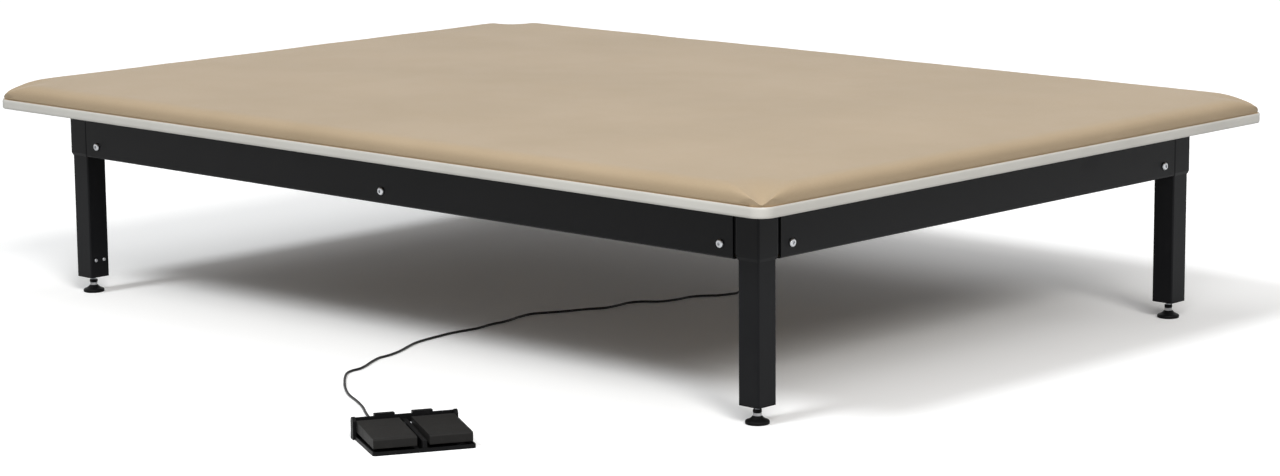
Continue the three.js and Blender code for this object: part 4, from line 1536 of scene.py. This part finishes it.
@dataclass
class Steelwork:
    """The rails, corner tubes and legs, what hangs in them, and the pedal, straight from the solids."""

    coated: tuple[str, ...] = ("long_rail_", "short_rail_", "corner_tube_", "leg_", "centre_cross_member")
    zinc: tuple[str, ...] = ("inner_leg_", "lift_cylinder_", "pressure_line_", "pedal_hinge_rod")
    chrome: tuple[str, ...] = ("piston_rod_",)
    plastic: tuple[str, ...] = ("glide_bush_", "control_box", "mains_inlet", "pedal_base")
    rubber: tuple[str, ...] = ("pedal_up", "pedal_down")
    cast: tuple[str, ...] = ("power_unit",)
    edge_round: float = 0.0006
    edge_steps: int = 2
    edge_angle: float = 40.0

    def soften(self, piece: bpy.types.Object) -> None:
        """Rounds a piece's sharp edges with a bevel.

        Args:
            piece: The piece.
        """
        bevel = piece.modifiers.new("edge_round", "BEVEL")
        bevel.width = self.edge_round
        bevel.segments = self.edge_steps
        bevel.limit_method = "ANGLE"
        bevel.angle_limit = math.radians(self.edge_angle)
        bevel.harden_normals = True
        bevel.miter_outer = "MITER_ARC"

    def build(self) -> None:
        """Dresses each solid with its own finish."""
        finishes = {
            self.coated: POWDER_COAT,
            self.zinc: ZINC,
            self.chrome: CHROME,
            self.plastic: BLACK_PLASTIC,
            self.rubber: PAD_RUBBER,
            self.cast: CASTING,
        }
        for starts, finish in finishes.items():
            for name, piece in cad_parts.items():
                if name.startswith(starts):
                    dress(piece, finish)
                    self.soften(piece)
                    log.info("%s has %s", name, finish.name)


# Pedal cord


@dataclass
class PedalCord:
    """The thin cord from the pedal to the control box under the table.

    Its route is given in millimetres from the table's centre.
    """

    diameter: float = 0.005
    steps: int = 8
    sides: int = 12
    smooth_angle: float = 60.0
    hangs: tuple[float, float] = (0.03, 0.31)
    lead: tuple[Point, ...] = (
        (489.04, -1111.43, 19),
        (482.0, -1107.6, 19),
        (468, -1099, 13),
        (445, -1084, 6),
    )
    lying: float = 2.7
    on_floor: Profile = (
        (415, -1066),
        (365, -1034),
        (323, -1004),
        (279, -978),
        (229, -952),
        (185, -921),
        (145, -887),
        (110, -854),
        (88, -829),
        (79, -808),
        (77, -788),
        (67, -764),
        (48, -730),
        (32, -695),
        (29, -670),
        (17, -630),
        (-2, -590),
        (-17, -557),
        (-25, -524),
        (-31, -475),
        (-34, -440),
        (-31, -404),
        (-29, -375),
        (-36, -330),
        (-36, -290),
        (-48, -236),
        (-50, -200),
        (-34, -168),
        (-16, -132),
        (0, -91),
        (19, -58),
        (21, -26),
        (18, 14),
        (29, 39),
        (57, 64),
        (70, 103),
        (71, 140),
        (82, 167),
        (104, 194),
        (114, 223),
    )
    bend_up: tuple[Point, ...] = ((117, 246, 4), (118, 259, 16))
    hanging: tuple[float, ...] = (50, 150, 250, 328.1)
    hangs_at: tuple[float, float] = (118, 262)

    def stations(self) -> list[Vector]:
        """The cord's route in the row frame.

        Returns:
            Its points, from the pedal to the control box.
        """
        lying = [(x, y, self.lying) for x, y in self.on_floor]
        hanging = [(*self.hangs_at, height) for height in self.hanging]
        return [Vector(point) / 1000 + SHIFT for point in (*self.lead, *lying, *self.bend_up, *hanging)]

    def centreline(self) -> list[Vector]:
        """Draws a smooth line through the stations.

        Returns:
            The line, with its steps between each two stations.
        """
        stations = self.stations()
        ends = [2 * stations[0] - stations[1], *stations, 2 * stations[-1] - stations[-2]]
        line: list[Vector] = []
        for p0, p1, p2, p3 in zip(ends, ends[1:], ends[2:], ends[3:]):
            t1 = math.sqrt((p1 - p0).length)
            t2 = t1 + math.sqrt((p2 - p1).length)
            t3 = t2 + math.sqrt((p3 - p2).length)
            for step in range(self.steps):
                t = t1 + (t2 - t1) * step / self.steps
                a1 = p0 * ((t1 - t) / t1) + p1 * (t / t1)
                a2 = p1 * ((t2 - t) / (t2 - t1)) + p2 * ((t - t1) / (t2 - t1))
                a3 = p2 * ((t3 - t) / (t3 - t2)) + p3 * ((t - t2) / (t3 - t2))
                b1 = a1 * ((t2 - t) / t2) + a2 * (t / t2)
                b2 = a2 * ((t3 - t) / (t3 - t1)) + a3 * ((t - t1) / (t3 - t1))
                line.append(b1 * ((t2 - t) / (t2 - t1)) + b2 * ((t - t1) / (t2 - t1)))
        return [*line, stations[-1]]

    def tube(self, line: Sequence[Vector]) -> Form:
        """Builds a round tube along a line.

        Args:
            line: The tube's centreline.

        Returns:
            The tube.
        """
        section = circle(self.diameter / 2, 0.0, self.sides)
        side = Vector((0.0, 0.0, 1.0))
        loops: list[list[Point]] = []
        for index, place in enumerate(line):
            ahead = line[min(index + 1, len(line) - 1)] - line[max(index - 1, 0)]
            ahead.normalize()
            side = (side - ahead * side.dot(ahead)).normalized()
            other = ahead.cross(side)
            loops.append([tuple(place + side * x + other * y) for x, y, _ in section])
        return Form().loft(loops)

    def build(self) -> None:
        line = self.centreline()
        piece = add_object("cord_to_pedal", self.tube(line).mesh("cord_to_pedal", self.smooth_angle))
        dress(piece, JACKET)
        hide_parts("pedal_cord")
        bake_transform(piece)
        length = sum((b - a).length for a, b in zip(line, line[1:]))
        log.info("the cord is %.4f m long", length)


# Studio


@dataclass(frozen=True)
class BroadLight:
    """A broad, even light from far away."""

    name: str
    strength: float
    spread: float  # how wide it is in the sky, in degrees
    towards: Point
    colour: Colour

    def build(self) -> None:
        """Adds the light."""
        data = bpy.data.lights.new(self.name, "SUN")
        data.energy = self.strength
        data.angle = math.radians(self.spread)
        data.color = self.colour
        aim(add_object(self.name, data), Vector(self.towards))


@dataclass(frozen=True)
class Softbox:
    """A large soft light near the table."""

    name: str
    size: tuple[float, float]
    energy: float
    at: Point
    aimed_at: Point

    def build(self) -> None:
        """Adds the light."""
        data = bpy.data.lights.new(self.name, "AREA")
        data.shape = "RECTANGLE"
        data.size, data.size_y = self.size
        data.energy = self.energy
        made = add_object(self.name, data)
        made.location = self.at
        aim(made, Vector(self.aimed_at) - Vector(self.at))


def aim(light: bpy.types.Object, towards: Vector) -> None:
    """Turns a light into a direction."""
    light.rotation_mode = "QUATERNION"
    light.rotation_quaternion = towards.to_track_quat("-Z", "Y")


@dataclass
class Studio:
    """The floor, the light and the camera."""

    floor_size: float = 80.0
    floor_white: float = 0.97
    floor_bounce: float = 0.16  # what the floor sends back as light
    floor_lift: float = 0.025
    # painted light: extra floor glow away from the table's footprint
    painted_far_light: float = 0.26
    painted_light_reach: tuple[float, float] = (-0.30, 0.40)
    table_half: tuple[float, float] = (1.067, 0.762)
    flat: float = 30.0  # edges sharper than this many degrees stay sharp
    sky: float = 0.28
    lights: tuple[BroadLight | Softbox, ...] = (
        BroadLight("key_light", 1.15, 18.0, (-1.3, 0.7, -1.0), (1.0, 0.98, 0.95)),
        BroadLight("front_light", 1.36, 14.0, (0.08, 0.82, -1.0), (0.96, 0.985, 1.0)),
        Softbox("near_softbox", (3.0, 2.0), 166.0, (4.2, -3.2, 4.2), (0.3, 0.1, 0.4)),
    )
    eye: Point = (4.8863169, -4.8781261, 1.3959312)
    yaw: float = 2.3265
    pitch: float = 0.176
    tilt: float = -0.0082
    lens: float = 98.13
    sensor: float = 36.0
    clip_end: float = 100.0

    def camera(self) -> None:
        """Sets the camera at the photograph's angle."""
        forward = Vector(
            (
                math.cos(self.yaw) * math.cos(self.pitch),
                math.sin(self.yaw) * math.cos(self.pitch),
                -math.sin(self.pitch),
            )
        )
        level = Vector((math.sin(self.yaw), -math.cos(self.yaw), 0.0))
        upright = level.cross(forward)
        right = level * math.cos(self.tilt) + upright * math.sin(self.tilt)
        up = upright * math.cos(self.tilt) - level * math.sin(self.tilt)
        turn = Matrix((right, up, -forward)).transposed().to_4x4()
        data = bpy.data.cameras.new("camera")
        data.lens = self.lens
        data.sensor_width = self.sensor
        data.clip_end = self.clip_end
        made = add_object("camera", data)
        made.matrix_world = Matrix.Translation(self.eye) @ turn
        bpy.context.scene.camera = made

    @staticmethod
    def seen(graph: Graph) -> Tone:
        """Tells sight from light in the studio.

        Args:
            graph: The graph of the floor or the sky.

        Returns:
            1 where it is seen straight, in a gloss or through glass, and 0 where it only sheds light.
        """
        rays = graph.node("ShaderNodeLightPath")
        camera, gloss, glass = (
            Tone(graph, rays.outputs[name])
            for name in ("Is Camera Ray", "Is Glossy Ray", "Is Transmission Ray")
        )
        return camera.larger(gloss.larger(glass))

    def floor(self) -> None:
        """Lays the white floor, with painted light that makes it glow brighter away from the table."""
        half = self.floor_size / 2
        corners = [(-half, -half), (half, -half), (half, half), (-half, half)]
        form = Form([Vector((x, y, 0.0)) for x, y in corners], [(0, 1, 2, 3)])
        piece = add_object("studio_floor", form.mesh("studio_floor", self.flat))
        material = bpy.data.materials.new("studio_white")
        material.use_nodes = True
        graph = Graph(material.node_tree)
        seen = self.seen(graph)
        colour = graph.mix(seen, (self.floor_bounce,) * 3, (self.floor_white,) * 3)
        shader = graph.node("ShaderNodeBsdfDiffuse", None, {"Color": colour})
        past_end = graph.along("X").size() - self.table_half[0]
        past_side = (graph.along("Y") - ROW_SHIFT).size() - self.table_half[1]
        out = past_end.larger(past_side)
        # painted light: an even glow, plus a glow that grows away from the table
        lift = seen * (self.floor_lift + self.painted_far_light * out.between(*self.painted_light_reach))
        glow = graph.node("ShaderNodeEmission", None, {"Color": WHITE, "Strength": lift})
        both = graph.node("ShaderNodeAddShader", None, {0: shader.outputs[0], 1: glow.outputs[0]})
        graph.node("ShaderNodeOutputMaterial", None, {"Surface": both.outputs[0]})
        piece.data.materials.append(material)

    def backdrop(self) -> None:
        """Hangs the plain white sky."""
        world = bpy.data.worlds.new("studio_sky")
        bpy.context.scene.world = world
        world.use_nodes = True
        graph = Graph(world.node_tree)
        strength = self.sky + self.seen(graph) * (1.0 - self.sky)
        back = graph.node("ShaderNodeBackground", None, {"Color": WHITE, "Strength": strength})
        graph.node("ShaderNodeOutputWorld", None, {"Surface": back.outputs[0]})

    def build(self) -> None:
        """Sets up the camera, the floor and the light."""
        self.camera()
        self.floor()
        self.backdrop()
        for light in self.lights:
            light.build()
            log.info("%s lights the studio", light.name)
        bpy.context.scene.view_settings.view_transform = "Standard"


def main() -> None:
    """Builds the studio and every sub-assembly in order."""
    logging.basicConfig(level=logging.INFO, format="%(name)s: %(message)s")
    Studio().build()
    PedalCord().build()
    Steelwork().build()
    RailBolts().build()
    PanScrews().build()
    LevellingFeet().build()
    Glands().build()
    TableTop().build()


if __name__ == "__main__":
    main()
